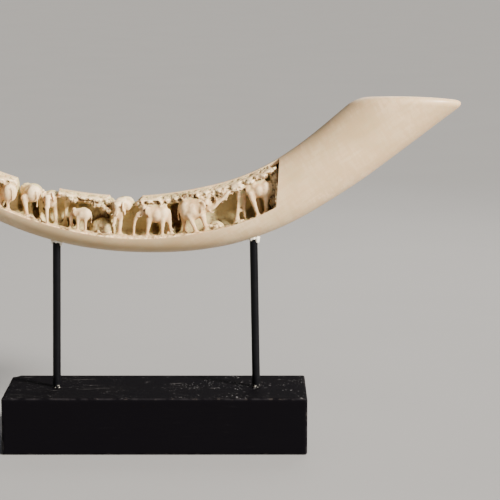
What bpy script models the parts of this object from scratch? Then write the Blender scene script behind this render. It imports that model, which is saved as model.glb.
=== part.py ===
"""Cast ivory-coloured elephant tusk with a carved procession, on two rods set in a black wooden block.

Metres, +Z up. X runs along the block, Y runs away from the carved side, and the origin is the middle of
the block's underside. A place in the tusk is its station, the distance along the curved axis from the
axis's lowest point (positive towards the root), with a level, the height above the axis.
"""

import math
import random
from dataclasses import dataclass

import bmesh
import bpy
from mathutils import Matrix, Vector

# Block and rods
BASE_LENGTH = 0.220
BASE_DEPTH = 0.070
BASE_HEIGHT = 0.042
BASE_EDGE = 0.0012
ROD_RADIUS = 0.0029
ROD_SIDES = 28
ROD_FOOT_X = 0.0733
ROD_Y = -0.001
ROD_LEAN = math.radians(1.0)
ROD_IN_BASE = 0.014
ROD_IN_TUSK = 0.005
CLEARANCE = 0.0003
FILLER_HEIGHT = 0.0028
FILLER_SPREAD = 0.0013

# Axis of the tusk in the XZ plane: (length, radius) of each bend from its lowest point, then straight
AXIS_LOW_X = -0.0116
AXIS_LOW_Z = 0.16335
BENDS_TO_ROOT = ((0.055, 0.268), (0.065, 0.185), (0.050, 0.409))
BENDS_TO_TIP = ((0.100, 0.254), (0.140, 0.329))
TIP_STATION = -0.222
ROOT_STATION = 0.280
TIP_ROUNDING = 0.014
# (station, height of the section)
SECTION_HEIGHTS = (
    (-0.222, 0.0150),
    (-0.160, 0.0257),
    (-0.100, 0.0339),
    (-0.050, 0.0388),
    (0.000, 0.0413),
    (0.050, 0.0449),
    (0.090, 0.0452),
    (0.130, 0.0459),
    (0.170, 0.0489),
    (0.280, 0.0549),
)
SECTION_ASPECT = 0.90
RING_POINTS = 28
RING_SPACING = 0.0115
TIP_RING_SHARES = (0.004, 0.05, 0.18, 0.42, 0.72)

# Root's cut face: level, falling a little to the back and, past a point, more and more towards the root's tip
LAST_SQUARE_STATION = 0.150
CUT_Z = 0.2554
CUT_FALL_BACK = 0.115
CUT_CROWN_X = 0.165
CUT_CROWN = 0.9
CUT_ROUNDING = 0.0060
CUT_ROUNDING_STEPS = 4
OBLIQUE_RING_SHARES = (0.25, 0.50, 0.75)
CUT_INNER_SHARE = 0.55

# Gallery: its ends, its lip's (station, level), and the rest of its section as (depth, level), in shares
GALLERY_TIP_X = -0.150
GALLERY_ROOT_X = 0.0868
GALLERY_END_LEAN = math.radians(4.0)
LIP_LEVELS = (
    (-0.160, -0.30),
    (-0.090, -0.33),
    (-0.047, -0.355),
    (-0.005, -0.415),
    (0.037, -0.335),
    (0.080, -0.285),
    (0.110, -0.20),
)
LIP_DEPTHS = (-1.60, -0.94)
GROUND_LEVEL = -0.305
GALLERY_SECTION = (
    (-0.78, -0.315),
    (-0.28, -0.34),
    (-0.10, -0.46),
    (0.12, -0.44),
    (0.30, -0.28),
    (0.40, 0.05),
    (0.37, 0.38),
    (0.24, 0.60),
    (0.04, 0.72),
    (-0.16, 0.78),
    (-0.34, 0.94),
    (-0.45, 1.70),
    (-1.60, 1.70),
)
# Gaps broken through the crest: X of the tip end, of the root end, and of the root end's top, and floor Z
GAP_HALF_DEPTH = 0.04
GAP_HEIGHT = 0.03
GAP_STEP_HEIGHT = 0.006
CREST_GAPS = (
    (-0.0988, -0.0690, -0.0690, 0.1848),
    (-0.0324, -0.0150, -0.0092, 0.1772),
)

# Carving
CARVING_VOXEL = 0.00075
CARVING_TRIANGLES = 4100
CARVING_KEPT_INSIDE = 0.985
GROUND_SINK = 0.0006
TRUNK_DOWN = ((0.52, 0.76), (0.63, 0.62), (0.66, 0.36), (0.64, 0.08))
TRUNK_FORWARD = ((0.52, 0.76), (0.68, 0.62), (0.78, 0.36), (0.80, 0.10))
TRUNK_RAISED = ((0.52, 0.74), (0.68, 0.66), (0.84, 0.84), (0.94, 1.04))
TRUNK_CURLED = ((0.52, 0.74), (0.66, 0.52), (0.62, 0.30), (0.50, 0.22))

# The trunk of an elephant and its masses, in shares of its height: (ahead, up, half length, half height)
BODY_MASSES = (
    (-0.14, 0.72, 0.23, 0.27),
    (0.02, 0.68, 0.27, 0.26),
    (0.18, 0.75, 0.20, 0.24),
    (0.42, 0.82, 0.15, 0.17),
)
BODY_HALF_WIDTH = 0.23
FAR_LEG_SHARE = -0.6


@dataclass(frozen=True)
class Elephant:
    """One animal: its middle, its height to the back, where it faces and how its near legs step."""

    x: float
    y: float
    height: float
    heading: float
    trunk: tuple
    fore_step: float = 0.0
    hind_step: float = 0.0


HERD = (
    Elephant(-0.1385, -0.005, 0.0185, 170, TRUNK_DOWN, 0.10, -0.05),
    Elephant(-0.1215, -0.006, 0.0205, 190, TRUNK_CURLED, 0.05, 0.10),
    Elephant(-0.1050, -0.007, 0.0175, 122, TRUNK_DOWN, 0.05, 0.00),
    Elephant(-0.0912, -0.006, 0.0236, 128, TRUNK_DOWN, 0.06, 0.10),
    Elephant(-0.0742, -0.004, 0.0225, 246, TRUNK_DOWN, 0.10, -0.10),
    Elephant(-0.0512, -0.010, 0.0150, 186, TRUNK_CURLED, 0.02, -0.02),
    Elephant(-0.0205, -0.004, 0.0262, 216, TRUNK_DOWN, 0.10, 0.05),
    Elephant(0.0032, -0.009, 0.0205, 184, TRUNK_FORWARD, 0.02, -0.06),
    Elephant(0.0282, -0.009, 0.0258, -6, TRUNK_RAISED, -0.06, 0.30),
    Elephant(0.0752, -0.006, 0.0232, 176, TRUNK_DOWN, -0.24, 0.00),
)

# Foliage under the rim and rocks on the ground: X of the ends, depth, level, lump radius
CANOPY = (
    (-0.150, -0.099, -0.10, 0.74, 0.0030),
    (-0.150, -0.105, -0.38, 0.66, 0.0022),
    (-0.068, -0.034, -0.05, 0.76, 0.0034),
    (-0.067, -0.035, -0.32, 0.72, 0.0026),
    (-0.047, -0.034, -0.12, 0.50, 0.0030),
    (-0.009, 0.086, 0.00, 0.78, 0.0034),
    (-0.008, 0.084, -0.28, 0.74, 0.0028),
    (-0.002, 0.016, -0.20, 0.52, 0.0030),
    (0.040, 0.060, -0.30, 0.56, 0.0036),
    (0.060, 0.084, -0.34, 0.62, 0.0030),
)
ROCKS = (
    (-0.148, -0.110, -0.45, -0.36, 0.0017),
    (-0.086, -0.078, -0.50, -0.32, 0.0020),
    (-0.047, -0.030, -0.50, -0.24, 0.0027),
    (0.009, 0.015, -0.40, -0.12, 0.0030),
    (0.040, 0.052, -0.50, -0.24, 0.0026),
    (0.062, 0.072, -0.45, -0.34, 0.0016),
)
LUMP_SPACING = 1.15
# Trees: X, depth, radius
TREES = ((-0.0652, 0.10, 0.0022), (0.0530, 0.25, 0.0022))
TREE_LOW_LEVEL = -0.50
TREE_TOP_LEVEL = 0.75


def clear_scene():
    for thing in list(bpy.data.objects):
        bpy.data.objects.remove(thing, do_unlink=True)


def material(name, color, roughness, metallic=0.0):
    made = bpy.data.materials.new(name)
    made.use_nodes = True
    shader = made.node_tree.nodes["Principled BSDF"]
    shader.inputs["Base Color"].default_value = (*color, 1.0)
    shader.inputs["Roughness"].default_value = roughness
    shader.inputs["Metallic"].default_value = metallic
    return made


def object_from(bm, name, finish=None, smooth=False):
    """Turn a bmesh into an object, its faces pointing outwards."""
    bmesh.ops.recalc_face_normals(bm, faces=bm.faces)
    for face in bm.faces:
        face.smooth = smooth
    mesh = bpy.data.meshes.new(name)
    bm.to_mesh(mesh)
    bm.free()
    made = bpy.data.objects.new(name, mesh)
    bpy.context.scene.collection.objects.link(made)
    if finish:
        mesh.materials.append(finish)
    return made


def hide_cutter(cutter):
    cutter.hide_render = True
    cutter.display_type = "WIRE"
    return cutter


def combine(target, other, operation):
    """Add an EXACT Boolean to the target, which keeps its other object as a hidden guide."""
    change = target.modifiers.new(f"{operation.lower()} {other.name}", "BOOLEAN")
    change.operation = operation
    change.solver = "EXACT"
    change.object = hide_cutter(other)


def settle(thing):
    """Replace an object's mesh by what its modifiers make of it."""
    graph = bpy.context.evaluated_depsgraph_get()
    mesh = bpy.data.meshes.new_from_object(thing.evaluated_get(graph))
    thing.modifiers.clear()
    thing.data = mesh


def interpolate(table, at):
    """Smooth value of a table of (place, value) rows at a place: cubic pieces with shared slopes."""
    places = [row[0] for row in table]
    last = len(table) - 2
    i = min(max(sum(place <= at for place in places) - 1, 0), last)

    def slope(j):
        low, high = max(j - 1, 0), min(j + 1, last + 1)
        return (table[high][1] - table[low][1]) / (places[high] - places[low])

    span = places[i + 1] - places[i]
    t = min(max((at - places[i]) / span, 0.0), 1.0)
    start, end = table[i][1], table[i + 1][1]
    return (
        (2 * t**3 - 3 * t**2 + 1) * start
        + (t**3 - 2 * t**2 + t) * span * slope(i)
        + (3 * t**2 - 2 * t**3) * end
        + (t**3 - t**2) * span * slope(i + 1)
    )


def axis_at(station):
    """X, Z and slope angle of the tusk's axis."""
    side = 1.0 if station >= 0 else -1.0
    left = abs(station)
    x, z, angle = AXIS_LOW_X, AXIS_LOW_Z, 0.0
    for length, radius in BENDS_TO_ROOT if side > 0 else BENDS_TO_TIP:
        run = min(left, length)
        turn = run / radius
        chord = 2 * radius * math.sin(turn / 2)
        x += side * chord * math.cos(angle + turn / 2)
        z += chord * math.sin(angle + turn / 2)
        angle += turn
        left -= run
    return x + side * left * math.cos(angle), z + left * math.sin(angle), side * angle


def station_at(x):
    """Station whose point on the axis has this X."""
    low, high = TIP_STATION, ROOT_STATION
    for _ in range(40):
        middle = (low + high) / 2
        if axis_at(middle)[0] < x:
            low = middle
        else:
            high = middle
    return low


def half_sizes(station):
    """Half width and half height of the tusk's section, which rounds off at the tip."""
    half = interpolate(SECTION_HEIGHTS, station) / 2
    from_tip = station - TIP_STATION
    if from_tip < TIP_ROUNDING:
        half *= math.sqrt(max(1 - (1 - from_tip / TIP_ROUNDING) ** 2, 0.0))
    return half * SECTION_ASPECT, half


def section_frame(station):
    """Matrix from shares of the half width and half height to the world, at a station."""
    x, z, angle = axis_at(station)
    half_width, half_height = half_sizes(station)
    lift = Vector((-math.sin(angle), 0, math.cos(angle))) * half_height
    along = Vector((math.cos(angle), 0, math.sin(angle)))
    return Matrix((
        (0, lift.x, along.x, x),
        (half_width, lift.y, along.y, 0),
        (0, lift.z, along.z, z),
        (0, 0, 0, 1),
    ))


def inside(x, depth, level):
    """Point at this X, its depth and level given as shares of the section's half sizes."""
    station = station_at(x)
    half_width, half_height = half_sizes(station)
    _, z, angle = axis_at(station)
    return Vector((x, depth * half_width, z + level * half_height / math.cos(angle)))


def ground_z(x):
    return inside(x, 0, GROUND_LEVEL).z - GROUND_SINK


def section_point(station, depth, level):
    """Point of a section, its depth and level given as shares of the section's half sizes."""
    return section_frame(station) @ Vector((depth, level, 0))


def cut_station(depth, level, drop):
    """Station where the line along the tusk at this depth and level comes up to the root's cut, less a drop."""
    low, high = LAST_SQUARE_STATION, ROOT_STATION
    for _ in range(40):
        middle = (low + high) / 2
        point = section_point(middle, depth, level)
        top = CUT_Z - CUT_FALL_BACK * point.y - CUT_CROWN * max(point.x - CUT_CROWN_X, 0) ** 2
        if point.z < top - drop:
            low = middle
        else:
            high = middle
    return low


def square_stations():
    """Stations of the tusk's square rings, closer together where the tip rounds off."""
    rounding = [TIP_STATION + TIP_ROUNDING * share for share in TIP_RING_SHARES]
    start = TIP_STATION + TIP_ROUNDING
    count = round((LAST_SQUARE_STATION - start) / RING_SPACING)
    return rounding + [start + (LAST_SQUARE_STATION - start) * i / count for i in range(count + 1)]


def skin_rings(scale):
    """Rings of the uncarved tusk from the tip, over the rounded edge of the root's cut to its middle."""
    turns = [2 * math.pi * i / RING_POINTS for i in range(RING_POINTS)]
    outline = [(scale * math.cos(turn), scale * math.sin(turn)) for turn in turns]
    rings = [[section_point(station, *place) for place in outline] for station in square_stations()]
    ends = [cut_station(*place, CUT_ROUNDING) for place in outline]
    for share in OBLIQUE_RING_SHARES:
        between = [LAST_SQUARE_STATION + share * (end - LAST_SQUARE_STATION) for end in ends]
        rings.append([section_point(at, *place) for at, place in zip(between, outline)])
    shrinks = []
    for step in range(CUT_ROUNDING_STEPS + 1):
        turn = math.pi / 2 * step / CUT_ROUNDING_STEPS
        inset = CUT_ROUNDING * (1 - math.cos(turn)) / half_sizes(ROOT_STATION)[1]
        shrinks.append((1 - inset, CUT_ROUNDING * (1 - math.sin(turn))))
    for shrink, drop in shrinks + [(CUT_INNER_SHARE, 0.0)]:
        ring = []
        for place in outline:
            depth, level = place[0] * shrink, place[1] * shrink
            ring.append(section_point(cut_station(depth, level, drop), depth, level))
        rings.append(ring)
    return rings


def bridge(bm, rings):
    """Faces between rings of points, and a face over each end."""
    before = None
    for points in rings:
        ring = [bm.verts.new(point) for point in points]
        if before:
            for i, vert in enumerate(ring):
                bm.faces.new((before[i - 1], before[i], vert, ring[i - 1]))
        else:
            bm.faces.new(ring[::-1])
        before = ring
    bm.faces.new(before)
    bmesh.ops.recalc_face_normals(bm, faces=bm.faces)


def cut_off(bm, point, normal):
    """Cut away what lies beyond a plane and close the cut."""
    everything = bm.verts[:] + bm.edges[:] + bm.faces[:]
    cut = bmesh.ops.bisect_plane(bm, geom=everything, plane_co=point, plane_no=normal, clear_outer=True)
    edges = [item for item in cut["geom_cut"] if isinstance(item, bmesh.types.BMEdge)]
    bmesh.ops.contextual_create(bm, geom=edges)


def skin_mesh(scale=1.0):
    """The uncarved tusk, cut off nearly level at the root."""
    bm = bmesh.new()
    bridge(bm, skin_rings(scale))
    return bm


def gallery_cutter():
    """What is cut from the tusk's front and inside for the carved scene."""
    bm = bmesh.new()
    start, end = station_at(GALLERY_TIP_X - 0.02), station_at(GALLERY_ROOT_X + 0.02)
    count = round((end - start) / RING_SPACING)
    rings = []
    for i in range(count + 1):
        station = start + (end - start) * i / count
        lip = [(depth, interpolate(LIP_LEVELS, station)) for depth in LIP_DEPTHS]
        rings.append([section_point(station, *place) for place in (*lip, *GALLERY_SECTION)])
    bridge(bm, rings)
    root_end = inside(GALLERY_ROOT_X, 0, 0)
    lean = Vector((math.cos(GALLERY_END_LEAN), 0, -math.sin(GALLERY_END_LEAN)))
    cut_off(bm, root_end, lean)
    cut_off(bm, inside(GALLERY_TIP_X, 0, 0), Vector((-1, 0, 0.2)).normalized())
    return object_from(bm, "gallery")


def gap_cutter(number, tip_x, root_x, root_top_x, floor_z):
    """A notch through the crest, its root side upright or sloping."""
    bm = bmesh.new()
    top = floor_z + GAP_HEIGHT
    ends = []
    for y in (-GAP_HALF_DEPTH, GAP_HALF_DEPTH):
        corners = ((tip_x, floor_z), (root_x, floor_z), (root_top_x, floor_z + GAP_STEP_HEIGHT))
        corners += ((root_top_x, top), (tip_x, top))
        ends.append([bm.verts.new((x, y, z)) for x, z in corners])
    near, far = ends
    for i in range(len(near)):
        bm.faces.new((near[i - 1], near[i], far[i], far[i - 1]))
    bm.faces.new(near)
    bm.faces.new(far)
    return object_from(bm, f"gap_{number}")


def blob(bm, centre, radii, turn=0.0, tilt=0.0):
    """An ellipsoid, tilted about Y and turned about Z."""
    place = Matrix.Translation(centre) @ Matrix.Rotation(turn, 4, "Z") @ Matrix.Rotation(tilt, 4, "Y")
    place = place @ Matrix.Diagonal((*radii, 1.0))
    bmesh.ops.create_icosphere(bm, subdivisions=2, radius=1.0, matrix=place)


def limb(bm, points, thick, thin):
    """A chain of tapered round pieces through the points."""
    count = len(points) - 1
    for i, point in enumerate(points):
        radius = thick + (thin - thick) * i / count
        blob(bm, point, (radius,) * 3)
        if i == count:
            break
        step = points[i + 1] - point
        place = Matrix.Translation((point + points[i + 1]) / 2)
        place = place @ step.to_track_quat("Z", "Y").to_matrix().to_4x4()
        bmesh.ops.create_cone(
            bm, cap_ends=True, segments=10, radius1=radius, depth=step.length, matrix=place,
            radius2=thick + (thin - thick) * (i + 1) / count,
        )


def add_elephant(bm, animal):
    """Body, head, ears, trunk and four legs, in shares of the animal's height."""
    size = animal.height
    turn = math.radians(animal.heading)
    ahead = Vector((math.cos(turn), math.sin(turn), 0))
    aside = Vector((-math.sin(turn), math.cos(turn), 0))
    foot = Vector((animal.x, animal.y, ground_z(animal.x)))

    def at(forward, sideways, up):
        return foot + size * (forward * ahead + sideways * aside + Vector((0, 0, up)))

    def on_ground(forward, sideways):
        point = at(forward, sideways, 0)
        return Vector((point.x, point.y, ground_z(point.x)))

    for middle, up, half_length, half_height in BODY_MASSES:
        radii = (half_length * size, BODY_HALF_WIDTH * size, half_height * size)
        blob(bm, at(middle, 0, up), radii, turn)
    near = -1 if aside.y > 0 else 1
    for side in (-1, 1):
        blob(bm, at(0.33, 0.15 * side, 0.77), (0.14 * size, 0.05 * size, 0.19 * size), turn + 0.35 * side)
        share = 1.0 if side == near else FAR_LEG_SHARE
        for hip_at, step in ((0.18, animal.fore_step), (-0.24, animal.hind_step)):
            hip = at(hip_at, 0.13 * side, 0.58)
            sole = on_ground(hip_at + step * share, 0.13 * side)
            limb(bm, [hip, (hip + sole) / 2, sole], 0.105 * size, 0.068 * size)
    trunk = [at(forward, 0, up) for forward, up in animal.trunk]
    trunk[-1].z = max(trunk[-1].z, ground_z(trunk[-1].x))
    limb(bm, trunk, 0.095 * size, 0.05 * size)


def add_lumps(bm, rows, chance):
    """Rows of uneven lumps between two X, at a share of the section's depth and level."""
    for start, end, depth, level, radius in rows:
        count = max(round((end - start) / (LUMP_SPACING * radius)), 1)
        for i in range(count + 1):
            x = start + (end - start) * i / count
            centre = inside(x, depth + chance.uniform(-0.10, 0.10), level + chance.uniform(-0.06, 0.06))
            radii = [radius * chance.uniform(0.75, 1.25) for _ in range(3)]
            blob(bm, centre, radii, chance.uniform(0, math.pi))


def add_tree(bm, x, depth, radius):
    """A stem from the ground to the canopy."""
    foot, top = inside(x, depth, TREE_LOW_LEVEL), inside(x, depth * 0.8, TREE_TOP_LEVEL)
    limb(bm, [foot, (foot + top) / 2 + Vector((radius, 0, 0)), top], radius, radius * 0.8)


def carving():
    """The herd, the foliage and the rocks as one low-count surface, kept inside the tusk's skin."""
    bm = bmesh.new()
    chance = random.Random(7)
    for animal in HERD:
        add_elephant(bm, animal)
    add_lumps(bm, CANOPY, chance)
    add_lumps(bm, ROCKS, chance)
    for tree in TREES:
        add_tree(bm, *tree)
    made = object_from(bm, "carving", smooth=True)
    remesh = made.modifiers.new("fuse", "REMESH")
    remesh.mode = "VOXEL"
    remesh.voxel_size = CARVING_VOXEL
    settle(made)
    sides = sum(len(face.vertices) - 2 for face in made.data.polygons)
    lighten = made.modifiers.new("lighten", "DECIMATE")
    lighten.ratio = CARVING_TRIANGLES / sides
    combine(made, object_from(skin_mesh(CARVING_KEPT_INSIDE), "keep_inside"), "INTERSECT")
    settle(made)
    return made


def rod_frame(side):
    """Matrix whose Z runs up a rod from the block's top, and whose origin is at the rod's foot there."""
    foot = Matrix.Translation((side * ROD_FOOT_X, ROD_Y, BASE_HEIGHT))
    return foot @ Matrix.Rotation(-side * ROD_LEAN, 4, "Y")


def underside_height(side):
    """Length of a rod between the block and the tusk's underside."""
    reach = 0.11
    for _ in range(8):
        point = rod_frame(side) @ Vector((0, 0, reach))
        reach += inside(point.x, 0, -1).z - point.z
    return reach


def cylinder(bm, frame, radius, low, high, top_radius=None):
    place = frame @ Matrix.Translation((0, 0, (low + high) / 2))
    bmesh.ops.create_cone(
        bm, cap_ends=True, segments=ROD_SIDES, radius1=radius, depth=high - low, matrix=place,
        radius2=radius if top_radius is None else top_radius,
    )


def socket_cutter(side, low, high):
    bm = bmesh.new()
    cylinder(bm, rod_frame(side), ROD_RADIUS + CLEARANCE, low, high)
    return object_from(bm, f"socket_{side}_{round(low * 1000)}")


def keep_largest(thing):
    """Drop what a Boolean leaves loose: chips and enclosed bubbles."""
    bm = bmesh.new()
    bm.from_mesh(thing.data)
    unseen = set(bm.verts)
    groups = []
    while unseen:
        group, edge = set(), [unseen.pop()]
        while edge:
            vert = edge.pop()
            group.add(vert)
            near = {e.other_vert(vert) for e in vert.link_edges} & unseen
            unseen -= near
            edge.extend(near)
        groups.append(group)
    keep = max(groups, key=len)
    bmesh.ops.delete(bm, geom=[vert for vert in bm.verts if vert not in keep], context="VERTS")
    bm.to_mesh(thing.data)
    bm.free()


def build_tusk(finish):
    tusk = object_from(skin_mesh(), "tusk", finish, smooth=True)
    combine(tusk, gallery_cutter(), "DIFFERENCE")
    for number, gap in enumerate(CREST_GAPS):
        combine(tusk, gap_cutter(number, *gap), "DIFFERENCE")
    combine(tusk, carving(), "UNION")
    for side in (-1, 1):
        reach = underside_height(side)
        bm = bmesh.new()
        thin = ROD_RADIUS + 2 * CLEARANCE
        cylinder(bm, rod_frame(side), thin, reach - FILLER_HEIGHT, reach + 0.003, thin + FILLER_SPREAD)
        combine(tusk, object_from(bm, f"filler_{side}"), "UNION")
        combine(tusk, socket_cutter(side, reach - 0.02, reach + ROD_IN_TUSK), "DIFFERENCE")
    settle(tusk)
    keep_largest(tusk)
    return tusk


def build_rod(name, side, finish):
    bm = bmesh.new()
    top = underside_height(side) + ROD_IN_TUSK - CLEARANCE
    cylinder(bm, rod_frame(side), ROD_RADIUS, CLEARANCE - ROD_IN_BASE, top)
    return object_from(bm, name, finish, smooth=True)


def build_base(finish):
    bm = bmesh.new()
    size = Matrix.Diagonal((BASE_LENGTH, BASE_DEPTH, BASE_HEIGHT, 1.0))
    bmesh.ops.create_cube(bm, size=1.0, matrix=Matrix.Translation((0, 0, BASE_HEIGHT / 2)) @ size)
    bmesh.ops.bevel(bm, geom=bm.edges[:], offset=BASE_EDGE, segments=2, profile=0.5, affect="EDGES")
    base = object_from(bm, "base", finish)
    for side in (-1, 1):
        combine(base, socket_cutter(side, -ROD_IN_BASE, 0.01), "DIFFERENCE")
    return base


def main():
    clear_scene()
    resin = material("ivory_resin", (0.78, 0.68, 0.53), 0.42)
    steel = material("black_metal", (0.016, 0.016, 0.018), 0.32)
    wood = material("black_wood", (0.012, 0.011, 0.012), 0.5)
    build_base(wood)
    build_rod("rod_left", -1, steel)
    build_rod("rod_right", 1, steel)
    build_tusk(resin)


main()
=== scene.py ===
"""Looks of a cast ivory-coloured tusk, its middle carved as a procession of elephants, on a black stand.

Metres, +Z up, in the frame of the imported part: X runs along the block towards the tusk's root and Y runs
away from the carved side. A place in the tusk is a station, the distance along its curved axis from the
axis's lowest point, with a depth (across) and a level (up), as shares of the section's half sizes.
"""

import logging
import math
import random
from dataclasses import dataclass
from enum import Enum
from typing import Any, Iterable, Sequence

import bmesh
import bpy
import numpy as np
from bmesh.types import BMEdge, BMesh
from bpy.types import ID, Material, Mesh, NodeSocket, Object
from mathutils import Matrix, Vector, noise
from mathutils.bvhtree import BVHTree


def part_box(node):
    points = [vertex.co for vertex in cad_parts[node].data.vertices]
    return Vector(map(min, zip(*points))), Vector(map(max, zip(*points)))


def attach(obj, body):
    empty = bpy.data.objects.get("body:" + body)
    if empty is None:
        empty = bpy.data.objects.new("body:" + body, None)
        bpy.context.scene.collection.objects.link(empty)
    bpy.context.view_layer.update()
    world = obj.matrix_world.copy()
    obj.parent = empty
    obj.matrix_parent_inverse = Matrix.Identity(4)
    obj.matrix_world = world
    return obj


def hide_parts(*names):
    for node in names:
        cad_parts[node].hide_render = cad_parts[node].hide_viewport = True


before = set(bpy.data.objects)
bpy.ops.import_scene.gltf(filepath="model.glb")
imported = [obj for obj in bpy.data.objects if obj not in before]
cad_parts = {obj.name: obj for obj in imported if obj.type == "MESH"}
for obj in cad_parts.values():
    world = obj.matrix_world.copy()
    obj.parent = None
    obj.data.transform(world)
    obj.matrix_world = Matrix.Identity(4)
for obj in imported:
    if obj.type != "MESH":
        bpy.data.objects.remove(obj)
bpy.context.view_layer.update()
LOG = logging.getLogger("tusk_ornament")
BODY = "root"
FULL_TURN = 2 * math.pi
# What the resin's finish reads from the tusk's vertices
CARVED_VALUES = ("carved", "depth", "pit", "ridge", "crest", "figure", "eye", "rough", "stain")
# Share of the section that the carving fills, just under the skin
UNDER_SKIN = 0.985

Share = tuple[float, float]
Triple = tuple[float, float, float]
Color = tuple[float, float, float]


# --- Mesh helpers ----------------------------------------------------------------------------------------


def add_object(name: str, data: ID) -> Object:
    """Add an object to the scene, at the origin, round a mesh, lamp or camera."""
    made = bpy.data.objects.new(name, data)
    bpy.context.scene.collection.objects.link(made)
    return made


def object_of(bm: BMesh, name: str) -> Object:
    """Turn a bmesh into a smooth-shaded object and free it."""
    for face in bm.faces:
        face.smooth = True
    mesh = bpy.data.meshes.new(name)
    bm.to_mesh(mesh)
    bm.free()
    return add_object(name, mesh)


def modify(thing: Object, kind: str, **settings: Any) -> None:
    """Add a modifier with these settings."""
    modifier = thing.modifiers.new(kind.lower(), kind)
    for name, setting in settings.items():
        setattr(modifier, name, setting)


def settle(thing: Object) -> None:
    """Replace an object's mesh by what its modifiers make of it."""
    graph = bpy.context.evaluated_depsgraph_get()
    mesh = bpy.data.meshes.new_from_object(thing.evaluated_get(graph))
    thing.modifiers.clear()
    thing.data = mesh


def discard(thing: Object) -> None:
    """Remove a helper object and its mesh."""
    mesh = thing.data
    bpy.data.objects.remove(thing, do_unlink=True)
    bpy.data.meshes.remove(mesh)


def cut_away(target: Object, cutters: Sequence[Object]) -> None:
    """Subtract closed objects from an object and remove them.

    Args:
        target: The object that is cut.
        cutters: What is cut from it.
    """
    for cutter in cutters:
        modify(target, "BOOLEAN", operation="DIFFERENCE", solver="EXACT", object=cutter)
    settle(target)
    for cutter in cutters:
        discard(cutter)


def merge(target: Object, others: Iterable[Object]) -> None:
    """Put the meshes of other objects into an object and remove them.

    Args:
        target: The object that takes them.
        others: The objects that are used up.
    """
    bm = bmesh.new()
    bm.from_mesh(target.data)
    for other in list(others):
        bm.from_mesh(other.data)
        discard(other)
    bm.to_mesh(target.data)
    bm.free()


def surface_of(things: Sequence[Object]) -> BVHTree:
    """One searchable surface of several objects."""
    bm = bmesh.new()
    for thing in things:
        bm.from_mesh(thing.data)
    surface = BVHTree.FromBMesh(bm)
    bm.free()
    return surface


def remesh(thing: Object, voxel: float) -> None:
    """Fuse overlapping shapes into one surface of even cells of this size."""
    modify(thing, "REMESH", mode="VOXEL", voxel_size=voxel, use_smooth_shade=True)
    settle(thing)


def swell(thing: Object, distance: float) -> None:
    """Move a mesh's whole surface outwards, or inwards where the distance is negative."""
    modify(thing, "DISPLACE", strength=distance, mid_level=0.0)
    settle(thing)


def soften(thing: Object, times: int) -> None:
    """Smooth a mesh's cells this many times."""
    modify(thing, "SMOOTH", factor=0.5, iterations=times)
    settle(thing)


def triangles_of(thing: Object) -> int:
    """How many triangles an object's faces make."""
    return sum(len(face.vertices) - 2 for face in thing.data.polygons)


def lighten(thing: Object, triangles: int) -> None:
    """Thin a mesh out to at most this many triangles."""
    count = triangles_of(thing)
    if count > triangles:
        modify(thing, "DECIMATE", ratio=triangles / count)
        settle(thing)


def blob(
    bm: BMesh, centre: Vector, radii: Sequence[float], turns: Sequence[float] = (0, 0, 0), detail: int = 3
) -> None:
    """Add an ellipsoid.

    Args:
        bm: The bmesh it goes into.
        centre: Its middle.
        radii: Its three half sizes.
        turns: Turns about Z, Y and X, the last one applied first.
        detail: Subdivisions of the icosphere.
    """
    place = Matrix.Translation(centre)
    for turn, axis in zip(turns, "ZYX"):
        place = place @ Matrix.Rotation(turn, 4, axis)
    place = place @ Matrix.Diagonal((*radii, 1.0))
    bmesh.ops.create_icosphere(bm, subdivisions=detail, radius=1.0, matrix=place)


def limb(bm: BMesh, points: Sequence[Vector], radii: Sequence[float], size: float) -> None:
    """Add a chain of tapered round pieces.

    Args:
        bm: The bmesh it goes into.
        points: Points along the limb.
        radii: Its radius at each point, as shares of the size.
        size: What the radii are shares of.
    """
    radii = [size * radius for radius in radii]
    for point, radius in zip(points, radii):
        blob(bm, point, (radius,) * 3, detail=2)
    for i in range(len(points) - 1):
        step = points[i + 1] - points[i]
        place = Matrix.Translation((points[i] + points[i + 1]) / 2)
        place = place @ step.to_track_quat("Z", "Y").to_matrix().to_4x4()
        bmesh.ops.create_cone(
            bm, cap_ends=True, segments=14, radius1=radii[i], radius2=radii[i + 1],
            depth=step.length, matrix=place,
        )


def circle(count: int) -> list[Share]:
    """Points round a circle of radius 1."""
    turns = [FULL_TURN * i / count for i in range(count)]
    return [(math.cos(turn), math.sin(turn)) for turn in turns]


def bridge_rings(bm: BMesh, rings: Sequence[Sequence[Vector]]) -> None:
    """Bridge rings of points in order and close both ends.

    Args:
        bm: The bmesh the skin goes into.
        rings: Rings of equally many points.
    """
    before: list[BMEdge] = []
    first: list[BMEdge] = []
    for ring in rings:
        verts = bmesh.ops.create_circle(bm, cap_ends=False, segments=len(ring), radius=1.0)["verts"]
        edges = list({edge for vert in verts for edge in vert.link_edges})
        for vert, point in zip(verts, ring):
            vert.co = point
        if before:
            bmesh.ops.bridge_loops(bm, edges=before + edges)
        else:
            first = edges
        before = edges
    for end in (first, before):
        bmesh.ops.contextual_create(bm, geom=end)
    bmesh.ops.recalc_face_normals(bm, faces=bm.faces)


def cut_by_plane(bm: BMesh, point: Vector, normal: Vector, clear: bool = False) -> dict[str, Any]:
    """Cut everything along a plane.

    Args:
        bm: The bmesh that is cut.
        point: A point on the plane.
        normal: The plane's normal.
        clear: Whether what lies beyond the plane goes.

    Returns:
        What the operator cut.
    """
    everything = bm.verts[:] + bm.edges[:] + bm.faces[:]
    return bmesh.ops.bisect_plane(bm, geom=everything, plane_co=point, plane_no=normal, clear_outer=clear)


def points_of(mesh: Mesh) -> np.ndarray:
    """Places of a mesh's vertices as rows."""
    rows = np.empty(len(mesh.vertices) * 3)
    mesh.vertices.foreach_get("co", rows)
    return rows.reshape(-1, 3)


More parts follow.
